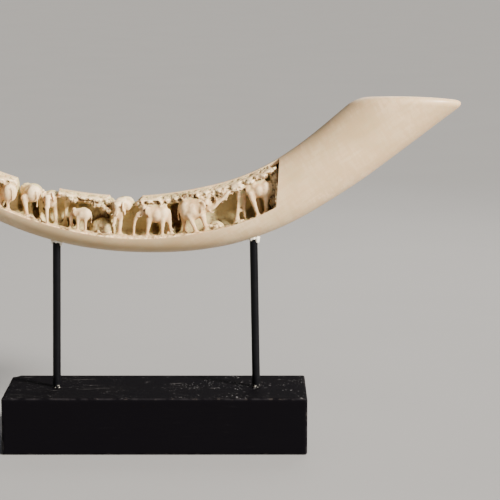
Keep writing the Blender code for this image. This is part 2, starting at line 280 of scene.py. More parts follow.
def normals_of(mesh: Mesh) -> np.ndarray:
    """Normals of a mesh's vertices as rows."""
    rows = np.empty(len(mesh.vertices) * 3)
    mesh.vertex_normals.foreach_get("vector", rows)
    return rows.reshape(-1, 3)


def move_points(mesh: Mesh, rows: np.ndarray) -> None:
    """Put a mesh's vertices at new places."""
    mesh.vertices.foreach_set("co", rows.reshape(-1))
    mesh.update()


def store(mesh: Mesh, **values: np.ndarray) -> None:
    """Store numbers on a mesh's vertices under their names, for a material to read."""
    for name, numbers in values.items():
        made = mesh.attributes.new(name, "FLOAT", "POINT")
        made.data.foreach_set("value", numbers.astype(np.float32))


def ramp(values: np.ndarray, low: float, high: float) -> np.ndarray:
    """Values turned to 0 at low, 1 at high, eased between."""
    share = np.clip((values - low) / (high - low), 0.0, 1.0)
    return share * share * (3 - 2 * share)


def flowing(table: Sequence[Share], at: float) -> float:
    """Smooth value of a table of (place, value) rows at a place.

    Args:
        table: The rows, in order.
        at: The place.

    Returns:
        The value, from cubic pieces that share their slopes at the rows.
    """
    last = len(table) - 2
    i = min(max(sum(row[0] <= at for row in table) - 1, 0), last)

    def slope(j: int) -> float:
        """Slope that the pieces share at a row."""
        low, high = max(j - 1, 0), min(j + 1, last + 1)
        return (table[high][1] - table[low][1]) / (table[high][0] - table[low][0])

    span = table[i + 1][0] - table[i][0]
    t = min(max((at - table[i][0]) / span, 0.0), 1.0)
    return (
        (2 * t**3 - 3 * t**2 + 1) * table[i][1]
        + (t**3 - 2 * t**2 + t) * span * slope(i)
        + (3 * t**2 - 2 * t**3) * table[i + 1][1]
        + (t**3 - t**2) * span * slope(i + 1)
    )


def hollowness(mesh: Mesh, times: int) -> np.ndarray:
    """How far each vertex lies below its surroundings.

    Args:
        mesh: The mesh.
        times: How many rounds of averaging make its surroundings.

    Returns:
        Distances in metres, positive in a pit and negative on a ridge.
    """
    ends = np.empty(len(mesh.edges) * 2, dtype=np.int64)
    mesh.edges.foreach_get("vertices", ends)
    a, b = ends.reshape(-1, 2).T
    count = len(mesh.vertices)
    links = np.maximum(np.bincount(a, minlength=count) + np.bincount(b, minlength=count), 1)
    start = points_of(mesh)
    rows = start.copy()
    for _ in range(times):
        for axis in range(3):
            total = np.bincount(a, rows[b, axis], count) + np.bincount(b, rows[a, axis], count)
            rows[:, axis] = total / links
    return ((rows - start) * normals_of(mesh)).sum(axis=1)


# --- Material helpers ------------------------------------------------------------------------------------


class Value:
    """A number that changes over a surface. Python maths on it adds Math nodes."""

    def __init__(self, sheet: "Sheet", socket: NodeSocket) -> None:
        """Wrap an output socket of a sheet."""
        self.sheet = sheet
        self.socket = socket

    def _math(self, operation: str, *terms: Any, clamp: bool = False) -> "Value":
        """Add one Math node on the terms."""
        settings = {"operation": operation, "use_clamp": clamp}
        return self.sheet.node("ShaderNodeMath", settings, dict(enumerate(terms)))

    def __add__(self, other: Any) -> "Value":
        """Sum."""
        return self._math("ADD", self, other)

    __radd__ = __add__

    def __sub__(self, other: Any) -> "Value":
        """Difference."""
        return self._math("SUBTRACT", self, other)

    def __rsub__(self, other: Any) -> "Value":
        """Difference from a plain number."""
        return self._math("SUBTRACT", other, self)

    def __mul__(self, other: Any) -> "Value":
        """Product."""
        return self._math("MULTIPLY", self, other)

    __rmul__ = __mul__

    def clamped(self) -> "Value":
        """The value kept between 0 and 1."""
        return self._math("ADD", self, 0.0, clamp=True)

    def between(self, low: float, high: float) -> "Value":
        """0 up to low, 1 from high, eased between."""
        places = {0: self, 1: low, 2: high, 3: 0.0, 4: 1.0}
        return self.sheet.node("ShaderNodeMapRange", {"interpolation_type": "SMOOTHSTEP"}, places)


class Sheet:
    """The node tree of one material, with its shader."""

    def __init__(self, name: str) -> None:
        """Start a material with one Principled shader."""
        self.material = bpy.data.materials.new(name)
        self.material.use_nodes = True
        self.tree = self.material.node_tree
        self.shader = self.tree.nodes["Principled BSDF"]
        self.object_place = self.node("ShaderNodeTexCoord", {}, {}, "Object")

    def node(self, kind: str, settings: dict[str, Any], sockets: dict[Any, Any], out: Any = 0) -> Value:
        """Add a node.

        Args:
            kind: The node's type.
            settings: Its own settings, set first.
            sockets: Values or links of its inputs, by index or name.
            out: The output that is wrapped, by index or name.

        Returns:
            The wrapped output.
        """
        made = self.tree.nodes.new(kind)
        for name, setting in settings.items():
            setattr(made, name, setting)
        for name, value in sockets.items():
            self.feed(made.inputs[name], value)
        return Value(self, made.outputs[out])

    def feed(self, socket: NodeSocket, value: Any) -> None:
        """Link a value to an input, or set it there."""
        if isinstance(value, Value):
            self.tree.links.new(value.socket, socket)
        elif isinstance(value, tuple) and len(value) == 3 and socket.type == "RGBA":
            socket.default_value = (*value, 1.0)
        else:
            socket.default_value = value

    def attributes(self, *names: str) -> list[Value]:
        """Numbers stored on the piece's vertices under these names."""
        return [self.node("ShaderNodeAttribute", {"attribute_name": name}, {}, "Fac") for name in names]

    def placed(self, scale: Triple, turn: Triple = (0, 0, 0)) -> Value:
        """Object coordinates, turned and then stretched.

        Args:
            scale: Factor along each axis.
            turn: Turn about each axis in degrees.

        Returns:
            The coordinates.
        """
        stretch = tuple(1.0 / part for part in scale)
        turns = tuple(math.radians(part) for part in turn)
        sockets = {0: self.object_place, 2: turns, 3: stretch}
        return self.node("ShaderNodeMapping", {"vector_type": "TEXTURE"}, sockets)

    def noise(
        self, scale: float, detail: float = 3.0, place: Value | None = None, rough: float = 0.55
    ) -> Value:
        """Cloudy noise from 0 to 1.

        Args:
            scale: Clouds in a metre.
            detail: Layers of finer noise.
            place: Coordinates, the object's own if left out.
            rough: Weight of the finer layers.

        Returns:
            The noise.
        """
        sockets = {"Vector": place or self.object_place, "Scale": scale, "Detail": detail, "Roughness": rough}
        return self.node("ShaderNodeTexNoise", {}, sockets, "Fac")

    def mix(self, factor: Any, a: Any, b: Any) -> Value:
        """Mix two colours.

        Args:
            factor: Share of the second.
            a: First colour.
            b: Second colour.

        Returns:
            The mixed colour.
        """
        settings = {"data_type": "RGBA", "clamp_factor": True}
        return self.node("ShaderNodeMix", settings, {0: factor, 6: a, 7: b}, 2)

    def finish(self, color: Value, roughness: Any, height: Value | None = None, relief: float = 0.0) -> None:
        """Feed the shader.

        Args:
            color: Base colour.
            roughness: Roughness, a value or a number.
            height: What the bump follows, from 0 to 1.
            relief: Height of the bump in metres.
        """
        self.feed(self.shader.inputs["Base Color"], color)
        self.feed(self.shader.inputs["Roughness"], roughness)
        if height is not None:
            sockets = {"Strength": 1.0, "Distance": relief, "Height": height}
            self.feed(self.shader.inputs["Normal"], self.node("ShaderNodeBump", {}, sockets, "Normal"))


@dataclass(frozen=True)
class ResinFinish:
    """Cast resin: satin ivory skin, a brown wash in the carving's hollows, painted highlights and shade."""

    skin_pale: Color = (0.76, 0.55, 0.33)
    skin_warm: Color = (0.60, 0.40, 0.21)
    # Also the colour of the painted shade towards the skin's underside
    skin_olive: Color = (0.47, 0.35, 0.18)
    # carved_pale also paints the ridges' highlight, carved_cream the shade of low figures
    carved_pale: Color = (0.935, 0.71, 0.435)
    carved_cream: Color = (0.53, 0.335, 0.16)
    wash_olive: Color = (0.56, 0.45, 0.21)
    wash_brown: Color = (0.100, 0.044, 0.009)
    roughness: float = 0.39
    bump: float = 0.00025
    subsurface: float = 0.10
    subsurface_scale: float = 0.003

    def build(self) -> Material:
        """Make the material.

        Returns:
            The material, which reads the carved tusk's vertex values.
        """
        sheet = Sheet("ivory_resin")
        carved, figure = sheet.attributes("carved", "figure")
        mottle = sheet.noise(38, 4)
        across = sheet.noise(400, 2, sheet.placed((1.0, 0.3, 0.16), (0, -30, 0)))
        along = sheet.noise(400, 2, sheet.placed((0.14, 0.3, 1.0), (0, -34, 0)))
        hatch = across * 0.55 + along * 0.45
        color = sheet.mix(carved, self._skin(sheet, mottle, hatch), self._relief(sheet))
        bump = sheet.noise(900, 3) * carved * (1.0 - figure * 0.55) + hatch * 0.08
        sheet.finish(color, carved * 0.22 + mottle * 0.06 + self.roughness, bump, self.bump)
        sheet.shader.inputs["Subsurface Weight"].default_value = self.subsurface
        sheet.shader.inputs["Subsurface Scale"].default_value = self.subsurface_scale
        return sheet.material

    def _skin(self, sheet: Sheet, mottle: Value, hatch: Value) -> Value:
        """Colour of the smooth skin, with warm clouds, olive patches, a crossed hatch and painted shade
        towards its underside.

        Args:
            sheet: The material's nodes.
            mottle: Large clouds.
            hatch: Fine crossed strokes.

        Returns:
            The colour.
        """
        (stain,) = sheet.attributes("stain")
        streaks = sheet.noise(60, 3, sheet.placed((0.25, 1.0, 1.6), (0, -34, 0)))
        warm = (mottle.between(0.38, 0.66) * 0.55 + streaks.between(0.45, 0.72) * 0.45).clamped()
        # The stored value adds the olive tints and the painted shade of the underside.
        olive = (sheet.noise(22, 3).between(0.44, 0.66) * 0.45 + stain * 0.45).clamped()
        skin = sheet.mix(olive, sheet.mix(warm, self.skin_pale, self.skin_warm), self.skin_olive)
        return sheet.mix(hatch.between(0.44, 0.56) * 0.52, skin, self.skin_warm)

    def _relief(self, sheet: Sheet) -> Value:
        """Colour of the carving: pale on its ridges as a painted highlight, olive further in, brown where the
        wash has run.

        Args:
            sheet: The material's nodes.

        Returns:
            The colour.
        """
        depth, pit, ridge, crest, figure, eye, rough, stain = sheet.attributes(*CARVED_VALUES[1:])
        patches = sheet.noise(240, 4, rough=0.65).between(0.48, 0.66)
        # Painted highlight and shade: ridges turn pale, the more so the higher they stand, so low figures
        # stay darker; rough parts pale in random patches.
        cream = (1.0 - ridge * (crest * 0.36 + 0.48) - rough * (1.0 - patches) * 0.30).clamped()
        relief = sheet.mix(cream, self.carved_pale, self.carved_cream)
        grime = sheet.noise(520, 4, rough=0.7).between(0.50, 0.68)
        olive = depth * 1.10 + pit * 0.90 + stain * 0.5 + grime * figure * 0.50 - figure * 0.22 - 0.10
        relief = sheet.mix(olive.clamped(), relief, self.wash_olive)
        brown = stain * (patches * 0.6 + 0.55) + pit * rough * 1.05 + rough * patches * 0.45
        brown = brown + pit * (depth * 0.30 + figure * 0.40) + eye * 1.60 - 0.22 - figure * 0.12
        return sheet.mix(brown.clamped(), relief, self.wash_brown)


@dataclass(frozen=True)
class BlockPaint:
    """Black paint on wood, worn grey-brown along its edges, with fine scratches and dust on top."""

    paint: Color = (0.0024, 0.0020, 0.0028)
    dusty: Color = (0.0046, 0.0040, 0.0044)
    rubbed_paint: Color = (0.022, 0.020, 0.022)
    bare_wood: Color = (0.060, 0.050, 0.044)
    scratch: Color = (0.170, 0.160, 0.155)
    fleck: Color = (0.19, 0.185, 0.185)
    bump: float = 0.00018
    specular: float = 0.03

    def build(self) -> Material:
        """Make the material.

        Returns:
            The material, which reads the vertex values edge, upward and handled.
        """
        sheet = Sheet("black_wood_paint")
        edge, upward, handled = sheet.attributes("edge", "upward", "handled")
        grain = sheet.noise(90, 5, sheet.placed((0.09, 1.0, 1.0)), 0.6)
        clouds = sheet.noise(30, 4)
        lines = sheet.noise(460, 3, sheet.placed((0.08, 1.0, 1.0), (0, 0, 6)))
        dusty = (clouds.between(0.40, 0.70) * 0.55 + grain.between(0.45, 0.75) * 0.45) * upward
        color = sheet.mix(dusty, self.paint, self.dusty)
        scuffed = sheet.noise(30, 4, rough=0.7).between(0.45, 0.60) * (handled * 0.985 + 0.015)
        color = sheet.mix(lines.between(0.64, 0.74) * scuffed * 0.75, color, self.scratch)
        dotted = sheet.noise(60, 3).between(0.44, 0.58) * (handled * 1.5 - 0.65).clamped()
        color = sheet.mix(sheet.noise(580, 2).between(0.63, 0.69) * dotted, color, self.fleck)
        rubbed = edge * sheet.noise(120, 3).between(0.36, 0.60) * 0.60
        color = sheet.mix(rubbed, color, self.rubbed_paint)
        worn = (edge * sheet.noise(300, 4).between(0.58, 0.66)).clamped()
        color = sheet.mix(worn * 0.45, color, self.bare_wood)
        roughness = clouds * 0.16 + grain * 0.10 + upward * 0.22 + 0.42
        sheet.finish(color, roughness, grain + lines * 0.4, self.bump)
        sheet.shader.inputs["Specular IOR Level"].default_value = self.specular
        return sheet.material


@dataclass(frozen=True)
class RodPaint:
    """Satin black paint on a metal rod, with pale flecks round its foot."""

    paint: Color = (0.0026, 0.0026, 0.0034)
    worn: Color = (0.008, 0.008, 0.009)
    fleck: Color = (0.55, 0.52, 0.46)
    bump: float = 0.00005
    specular: float = 0.12

    def build(self) -> Material:
        """Make the material.

        Returns:
            The material, which reads the vertex value foot.
        """
        sheet = Sheet("black_rod_paint")
        (foot,) = sheet.attributes("foot")
        orange_peel = sheet.noise(700, 2)
        flecks = (sheet.noise(520, 3).between(0.52, 0.60) * foot).clamped()
        color = sheet.mix(sheet.noise(110, 3).between(0.5, 0.8) * 0.5, self.paint, self.worn)
        color = sheet.mix(flecks, color, self.fleck)
        sheet.finish(color, orange_peel * 0.16 + flecks * 0.3 + 0.24, orange_peel, self.bump)
        sheet.shader.inputs["Specular IOR Level"].default_value = self.specular
        return sheet.material


@dataclass(frozen=True)
class FillerFinish:
    """Pale filler squeezed out round the rods' tops."""

    pale: Color = (0.84, 0.79, 0.68)
    dull: Color = (0.50, 0.42, 0.30)
    bump: float = 0.00015

    def build(self) -> Material:
        """Make the material.

        Returns:
            The material, the same over the whole piece.
        """
        sheet = Sheet("pale_filler")
        clouds = sheet.noise(500, 3)
        color = sheet.mix(clouds.between(0.45, 0.7) * 0.6, self.pale, self.dull)
        sheet.finish(color, clouds * 0.2 + 0.35, clouds, self.bump)
        return sheet.material


@dataclass(frozen=True)
class FloorFinish:
    """A pale, matt floor with the faintest clouds."""

    color: Color = (0.28, 0.275, 0.27)
    shade: float = 0.94
    roughness: float = 0.8

    def build(self) -> Material:
        """Make the material.

        Returns:
            The material, the same over the whole piece.
        """
        sheet = Sheet("pale_floor")
        darker = tuple(part * self.shade for part in self.color)
        sheet.finish(sheet.mix(sheet.noise(6, 2), self.color, darker), self.roughness)
        return sheet.material


# --- The tusk --------------------------------------------------------------------------------------------


@dataclass(frozen=True)
class TuskForm:
    """Axis and sections of the uncarved tusk. A bend is (length, radius), a height (station, height)."""

    low_x: float = -0.0116
    low_z: float = 0.16335
    bends_to_root: tuple[Share, ...] = ((0.055, 0.268), (0.065, 0.185), (0.050, 0.409))
    bends_to_tip: tuple[Share, ...] = ((0.100, 0.254), (0.140, 0.329))
    tip_station: float = -0.222
    root_station: float = 0.280
    tip_rounding: float = 0.014
    tip_steps: int = 9
    heights: tuple[Share, ...] = (
        (-0.222, 0.0150), (-0.160, 0.0257), (-0.100, 0.0339), (-0.050, 0.0388), (0.000, 0.0413),
        (0.050, 0.0449), (0.090, 0.0452), (0.130, 0.0459), (0.170, 0.0489), (0.280, 0.0549),
    )
    aspect: float = 0.90
    last_square_station: float = 0.150
    oblique_steps: int = 12
    cut_z: float = 0.2554
    cut_fall_back: float = 0.115
    cut_crown_x: float = 0.165
    cut_crown: float = 0.9
    cut_rounding: float = 0.0060
    rounding_steps: int = 8
    halvings: int = 32
    cut_halvings: int = 26
    samples: int = 900
    sample_rounds: int = 6

    def axis_at(self, station: float) -> Triple:
        """Find a point of the axis.

        Args:
            station: Its station.

        Returns:
            Its X and Z, and the axis's slope there in radians.
        """
        side = 1.0 if station >= 0 else -1.0
        left = abs(station)
        x, z, angle = self.low_x, self.low_z, 0.0
        for length, radius in self.bends_to_root if side > 0 else self.bends_to_tip:
            run = min(left, length)
            turn = run / radius
            chord = 2 * radius * math.sin(turn / 2)
            x += side * chord * math.cos(angle + turn / 2)
            z += chord * math.sin(angle + turn / 2)
            angle += turn
            left -= run
        return x + side * left * math.cos(angle), z + left * math.sin(angle), side * angle

    def half_sizes(self, station: float) -> Share:
        """Half width and half height of the section, which rounds off at the tip."""
        half = flowing(self.heights, station) / 2
        from_tip = station - self.tip_station
        if from_tip < self.tip_rounding:
            half *= math.sqrt(max(1 - (1 - from_tip / self.tip_rounding) ** 2, 0.0))
        return half * self.aspect, half

    def point(self, station: float, depth: float, level: float) -> Vector:
        """Place in the world of a point in a section."""
        x, z, angle = self.axis_at(station)
        half_width, half_height = self.half_sizes(station)
        rise = level * half_height
        return Vector((x - math.sin(angle) * rise, depth * half_width, z + math.cos(angle) * rise))

    def station_at(self, x: float) -> float:
        """Station whose point on the axis has this X."""
        low, high = self.tip_station, self.root_station
        for _ in range(self.halvings):
            middle = (low + high) / 2
            low, high = (middle, high) if self.axis_at(middle)[0] < x else (low, middle)
        return low

    def inside(self, x: float, depth: float, level: float) -> Vector:
        """Point at this X, its depth and level given as shares, the level measured upright."""
        station = self.station_at(x)
        half_width, half_height = self.half_sizes(station)
        _, z, angle = self.axis_at(station)
        return Vector((x, depth * half_width, z + level * half_height / math.cos(angle)))

    def cut_station(self, depth: float, level: float, drop: float) -> float:
        """Station where a line along the tusk comes up to the root's cut, less a drop.

        Args:
            depth: The line's depth.
            level: The line's level.
            drop: How far under the cut it stops.

        Returns:
            The station.
        """
        low, high = self.last_square_station, self.root_station
        for _ in range(self.cut_halvings):
            middle = (low + high) / 2
            point = self.point(middle, depth, level)
            crown = self.cut_crown * max(point.x - self.cut_crown_x, 0) ** 2
            below = point.z < self.cut_z - self.cut_fall_back * point.y - crown - drop
            low, high = (middle, high) if below else (low, middle)
        return low

    def rings(self, count: int, spacing: float) -> list[list[Vector]]:
        """Rings over the whole uncarved tusk, from the tip over the root's rounded edge to its middle.

        Args:
            count: Points in a ring.
            spacing: Distance between rings.

        Returns:
            The rings.
        """
        outline, last = circle(count), self.last_square_station
        tip_turns = [math.pi / 2 * i / self.tip_steps for i in range(1, self.tip_steps)]
        stations = [self.tip_station + self.tip_rounding * (1 - math.cos(turn)) for turn in tip_turns]
        start = self.tip_station + self.tip_rounding
        steps = round((last - start) / spacing)
        stations += [start + (last - start) * i / steps for i in range(steps + 1)]
        rings = [[self.point(station, *place) for place in outline] for station in stations]
        ends = [self.cut_station(*place, self.cut_rounding) for place in outline]
        for i in range(1, self.oblique_steps):
            at = [last + (end - last) * i / self.oblique_steps for end in ends]
            rings.append([self.point(station, *place) for station, place in zip(at, outline)])
        half = self.half_sizes(self.root_station)[1]
        over_edge = []
        for i in range(self.rounding_steps + 1):
            turn = math.pi / 2 * i / self.rounding_steps
            shrink = 1 - self.cut_rounding * (1 - math.cos(turn)) / half
            over_edge.append((shrink, self.cut_rounding * (1 - math.sin(turn))))
        for shrink, drop in over_edge + [(0.75, 0.0), (0.5, 0.0), (0.25, 0.0), (0.05, 0.0)]:
            inner = [(depth * shrink, level * shrink) for depth, level in outline]
            rings.append([self.point(self.cut_station(*place, drop), *place) for place in inner])
        return rings

    def shares_of(self, rows: np.ndarray) -> tuple[np.ndarray, np.ndarray, np.ndarray]:
        """Stations, depths and levels of many points.

        Args:
            rows: Places as rows.

        Returns:
            Their stations, depths and levels.
        """
        stations = np.linspace(self.tip_station + 0.002, self.root_station, self.samples)
        axis = np.array([self.axis_at(station) for station in stations])
        halves = np.array([self.half_sizes(station) for station in stations])
        at = np.interp(rows[:, 0], axis[:, 0], stations)
        for _ in range(self.sample_rounds):
            x, z, angle = (np.interp(at, stations, axis[:, i]) for i in range(3))
            at += (rows[:, 0] - x) * np.cos(angle) + (rows[:, 2] - z) * np.sin(angle)
            at = np.clip(at, stations[0], stations[-1])
        x, z, angle = (np.interp(at, stations, axis[:, i]) for i in range(3))
        rise = (rows[:, 2] - z) * np.cos(angle) - (rows[:, 0] - x) * np.sin(angle)
        depth = rows[:, 1] / np.interp(at, stations, halves[:, 0])
        return at, depth, rise / np.interp(at, stations, halves[:, 1])


@dataclass(frozen=True)
class Gallery:
    """The window cut into the tusk's front, and the gaps broken through its crest.

    The hollow's sections are (depth, level) rows inside its lip, one for the carving and a larger one for
    what is cut from the tusk behind it. A gap is (X of its tip side, X of its root side, X of its root
    side's top, Z of its floor).
    """

    form: TuskForm = TuskForm()
    tip_x: float = -0.150
    root_x: float = 0.0868
    end_lean: float = math.radians(4.0)
    ground: float = -0.305
    ground_sink: float = 0.0006
    lip_levels: tuple[Share, ...] = (
        (-0.160, -0.30), (-0.090, -0.33), (-0.047, -0.355), (-0.005, -0.415), (0.037, -0.335),
        (0.080, -0.285), (0.110, -0.20),
    )
    lip_depths: tuple[float, float] = (-1.60, -0.94)
    hollow: tuple[Share, ...] = (
        (-0.78, -0.315), (-0.28, -0.34), (-0.10, -0.44), (0.06, -0.42), (0.22, -0.26), (0.31, 0.05),
        (0.28, 0.36), (0.18, 0.54), (0.02, 0.62), (-0.20, 0.66), (-0.38, 0.70), (-0.43, 0.94),
        (-0.50, 1.70), (-1.60, 1.70),
    )
    behind: tuple[Share, ...] = (
        (-0.84, -0.40), (-0.28, -0.48), (-0.10, -0.70), (0.30, -0.74), (0.70, -0.50), (0.86, 0.05),
        (0.76, 0.50), (0.40, 0.78), (0.02, 0.84), (-0.10, 0.88), (-0.10, 1.70), (-1.60, 1.70),
    )
    gaps: tuple[tuple[float, float, float, float], ...] = (
        (-0.0988, -0.0690, -0.0690, 0.1848),
        (-0.0324, -0.0150, -0.0092, 0.1772),
    )
    gap_height: float = 0.03
    gap_straight: float = 0.006
    gap_reach: float = 0.04
    hidden_under: float = 0.0011
    ring_spacing: float = 0.004
    past_ends: float = 0.02

    def ground_z(self, x: float) -> float:
        """Height at this X of what stands on the ground, sunk a little into it."""
        return self.form.inside(x, 0, self.ground).z - self.ground_sink

    def cutter(self, section: Sequence[Share], longer: float) -> Object:
        """What is cut from the tusk for the window and the hollow behind it.

        Args:
            section: The hollow's section inside its lip.
            longer: How much further than the finished hollow it reaches at both ends.

        Returns:
            The closed cutter.
        """
        rings = []
        for station in self.stations(self.past_ends):
            lip = [(depth, flowing(self.lip_levels, station)) for depth in self.lip_depths]
            rings.append([self.form.point(station, *place) for place in (*lip, *section)])
        bm = bmesh.new()
        bridge_rings(bm, rings)
        lean = Vector((math.cos(self.end_lean), 0, -math.sin(self.end_lean)))
        slope = Vector((-1, 0, 0.2)).normalized()
        for x, normal in ((self.root_x, lean), (self.tip_x, slope)):
            cut = cut_by_plane(bm, self.form.inside(x, 0, 0) + normal * longer, normal, clear=True)
            edges = [item for item in cut["geom_cut"] if isinstance(item, BMEdge)]
            bmesh.ops.contextual_create(bm, geom=edges)
        return object_of(bm, "gallery")

    def stations(self, beyond: float) -> list[float]:
        """Evenly spaced stations along the gallery, reaching this far past both its ends."""
        start, end = self.form.station_at(self.tip_x - beyond), self.form.station_at(self.root_x + beyond)
        count = round((end - start) / self.ring_spacing)
        return [start + (end - start) * i / count for i in range(count + 1)]

    def gap_cutters(self, wider: float) -> list[Object]:
        """Notches through the crest.

        Args:
            wider: How much bigger than the finished gap they are.

        Returns:
            The closed cutters.
        """
        made = []
        for tip_x, root_x, top_x, floor_z in self.gaps:
            low, bend, top = floor_z - wider, floor_z + self.gap_straight, floor_z + self.gap_height
            corners = ((tip_x - wider, low), (root_x + wider, low), (top_x + wider, bend))
            corners += ((top_x + wider, top), (tip_x - wider, top))
            bm = bmesh.new()
            sides = (-self.gap_reach, self.gap_reach)
            bridge_rings(bm, [[Vector((x, y, z)) for x, z in corners] for y in sides])
            made.append(object_of(bm, "gap"))
        return made


class Trunk(Enum):
    """How an elephant carries its trunk: (ahead, up) in shares of its height, from the head on."""

    DOWN = ((0.49, 0.74), (0.58, 0.62), (0.615, 0.44), (0.615, 0.24), (0.60, 0.04))
    FORWARD = ((0.50, 0.74), (0.64, 0.68), (0.735, 0.50), (0.78, 0.28), (0.79, 0.04))
    RAISED = ((0.47, 0.68), (0.60, 0.74), (0.74, 0.86), (0.90, 1.00), (1.06, 1.18))
    CURLED = ((0.50, 0.74), (0.61, 0.60), (0.63, 0.44), (0.57, 0.30), (0.47, 0.24))
    STRAIGHT = ((0.47, 0.72), (0.51, 0.58), (0.51, 0.40), (0.50, 0.22), (0.48, 0.04))
    HANGING = ((0.42, 0.72), (0.50, 0.62), (0.56, 0.50), (0.60, 0.40), (0.66, 0.32))


@dataclass(frozen=True)
class Elephant:
    """One animal of the procession, its parts in shares of its height to the back.

    A leg is (X of its hip, X of its sole, how far it stands out towards the carved side).
    """

    x: float
    y: float
    height: float
    heading: float
    trunk: Trunk
    legs: tuple[Triple, ...]
    belly: float = 0.38
    length: float = 1.0
    girth: float = 1.0
    ear_lift: float = 0.0
    nod: float = 0.0
    backing: float = 0.30

    def _frame(self, gallery: Gallery) -> tuple[Vector, Vector, Vector, Vector]:
        """Its place on the ground, and the ways ahead, to its left and up."""
        turn = math.radians(self.heading)
        foot = Vector((self.x, self.y, gallery.ground_z(self.x)))
        ahead = Vector((math.cos(turn), math.sin(turn), 0)) * self.height * self.length
        aside = Vector((-math.sin(turn), math.cos(turn), 0)) * self.height * self.girth
        return foot, ahead, aside, Vector((0, 0, self.height))

    def _mass(self, bm: BMesh, centre: Vector, half: Triple, yaw: float = 0.0, tilt: float = 0.0) -> None:
        """Add an ellipsoid of the body.

        Args:
            bm: The bmesh it goes into.
            centre: Its middle.
            half: Its half sizes ahead, aside and up, as shares of the height.
            yaw: Turn about Z from the animal's own heading.
            tilt: Turn about the axis across it.
        """
        radii = (half[0] * self.length, half[1] * self.girth, half[2])
        turns = (math.radians(self.heading) + yaw, tilt, 0)
        blob(bm, centre, [self.height * radius for radius in radii], turns)

    def build(self, gallery: Gallery) -> Object:
        """Model the body, head, trunk and legs.

        Args:
            gallery: Where it stands.

        Returns:
            Overlapping closed shapes in one object.
        """
        bm = bmesh.new()
        size, nod = self.height, self.nod
        foot, ahead, aside, up = self._frame(gallery)
        middle, half = (self.belly + 0.96) / 2, (0.96 - self.belly) / 2
        masses = (
            # Rump, barrel, shoulders and spine
            (-0.17, 0.0, middle + 0.01, (0.21, 0.235, half * 0.97)),
            (0.02, 0.0, middle - 0.01, (0.26, 0.260, half * 0.94)),
            (0.19, 0.0, middle + 0.06, (0.17, 0.205, half * 0.78)),
            (0.0, 0.0, 0.90, (0.24, 0.085, 0.075)),
            # Head, neck, face and the two domes of the brow
            (0.42, 0.0, 0.83 - nod, (0.125, 0.125, 0.150)),
            (0.31, 0.0, 0.79 - nod / 2, (0.13, 0.105, 0.115)),
            (0.47, 0.0, 0.73 - nod, (0.080, 0.080, 0.100)),
            (0.43, -0.048, 0.925 - nod, (0.070, 0.060, 0.060)),
            (0.43, 0.048, 0.925 - nod, (0.070, 0.060, 0.060)),
        )
        for forward, across, height, sizes in masses:
            self._mass(bm, foot + forward * ahead + across * aside + height * up, sizes)
        for hip_x, sole_x, out in self.legs:
            hip = foot + Vector((hip_x * size, -out * size, (self.belly + 0.17) * size))
            sole = foot + Vector((sole_x * size, -out * size, 0))
            sole.z = gallery.ground_z(sole.x)
            knee, ankle = hip.lerp(sole, 0.50), hip.lerp(sole, 0.84)
            limb(bm, [hip, knee, ankle, sole], (0.105, 0.066, 0.056, 0.074), size)
            blob(bm, sole, (0.105 * size, 0.10 * size, 0.05 * size), detail=2)
        trunk = [foot + forward * ahead + (height - nod) * up for forward, height in self.trunk.value]
        trunk[-1].z = max(trunk[-1].z, gallery.ground_z(trunk[-1].x))
        limb(bm, trunk, (0.095, 0.074, 0.058, 0.048, 0.042), size)
        return object_of(bm, "animal")

    def build_trim(self, gallery: Gallery) -> Object:
        """Model the thin parts that keep their creases: ears, tusks and tail.

        Args:
            gallery: Where it stands.

        Returns:
            Overlapping closed shapes in one object.
        """
        bm = bmesh.new()
        foot, ahead, aside, up = self._frame(gallery)
        lift = (self.ear_lift - self.nod * 0.8) * up
        for side in (-1, 1):
            out = side * aside
            flap = foot + 0.320 * ahead + 0.165 * out + 0.81 * up + lift
            self._mass(bm, flap, (0.120, 0.036, 0.145), 0.55 * side, -0.15)
            lobe = foot + 0.265 * ahead + 0.185 * out + 0.70 * up + lift * 1.6
            self._mass(bm, lobe, (0.085, 0.032, 0.120), 0.55 * side, 0.2)
            points = [(0.48, 0.07, 0.69), (0.56, 0.095, 0.61), (0.64, 0.09, 0.60)]
            tusk = [foot + ahead * x + out * y + (z - self.nod) * up for x, y, z in points]
            limb(bm, tusk, (0.026, 0.021, 0.014), self.height)
        points = [(-0.37, 0.82), (-0.415, 0.66), (-0.41, 0.46), (-0.39, 0.36)]
        tail = [foot + forward * ahead + height * up for forward, height in points]
        limb(bm, tail, (0.030, 0.022, 0.020, 0.030), self.height)
        return object_of(bm, "trim")

    def build_backing(self, gallery: Gallery) -> Object:
        """Model the rock that joins the animal to the wall behind it."""
        bm = bmesh.new()
        size, foot = self.height, self._frame(gallery)[0]
        half = (size * self.backing, 0.30 * size, 0.28 * size)
        blob(bm, foot + Vector((0, 0.34 * size, 0.68 * size)), half)
        return object_of(bm, "backing")

    def eyes(self, gallery: Gallery) -> list[Vector]:
        """Where its two eyes are, just under the skin of its head."""
        foot, ahead, aside, up = self._frame(gallery)
        middle = foot + 0.44 * ahead + (0.81 - self.nod) * up
        return [middle + side * 0.12 * aside for side in (-1, 1)]


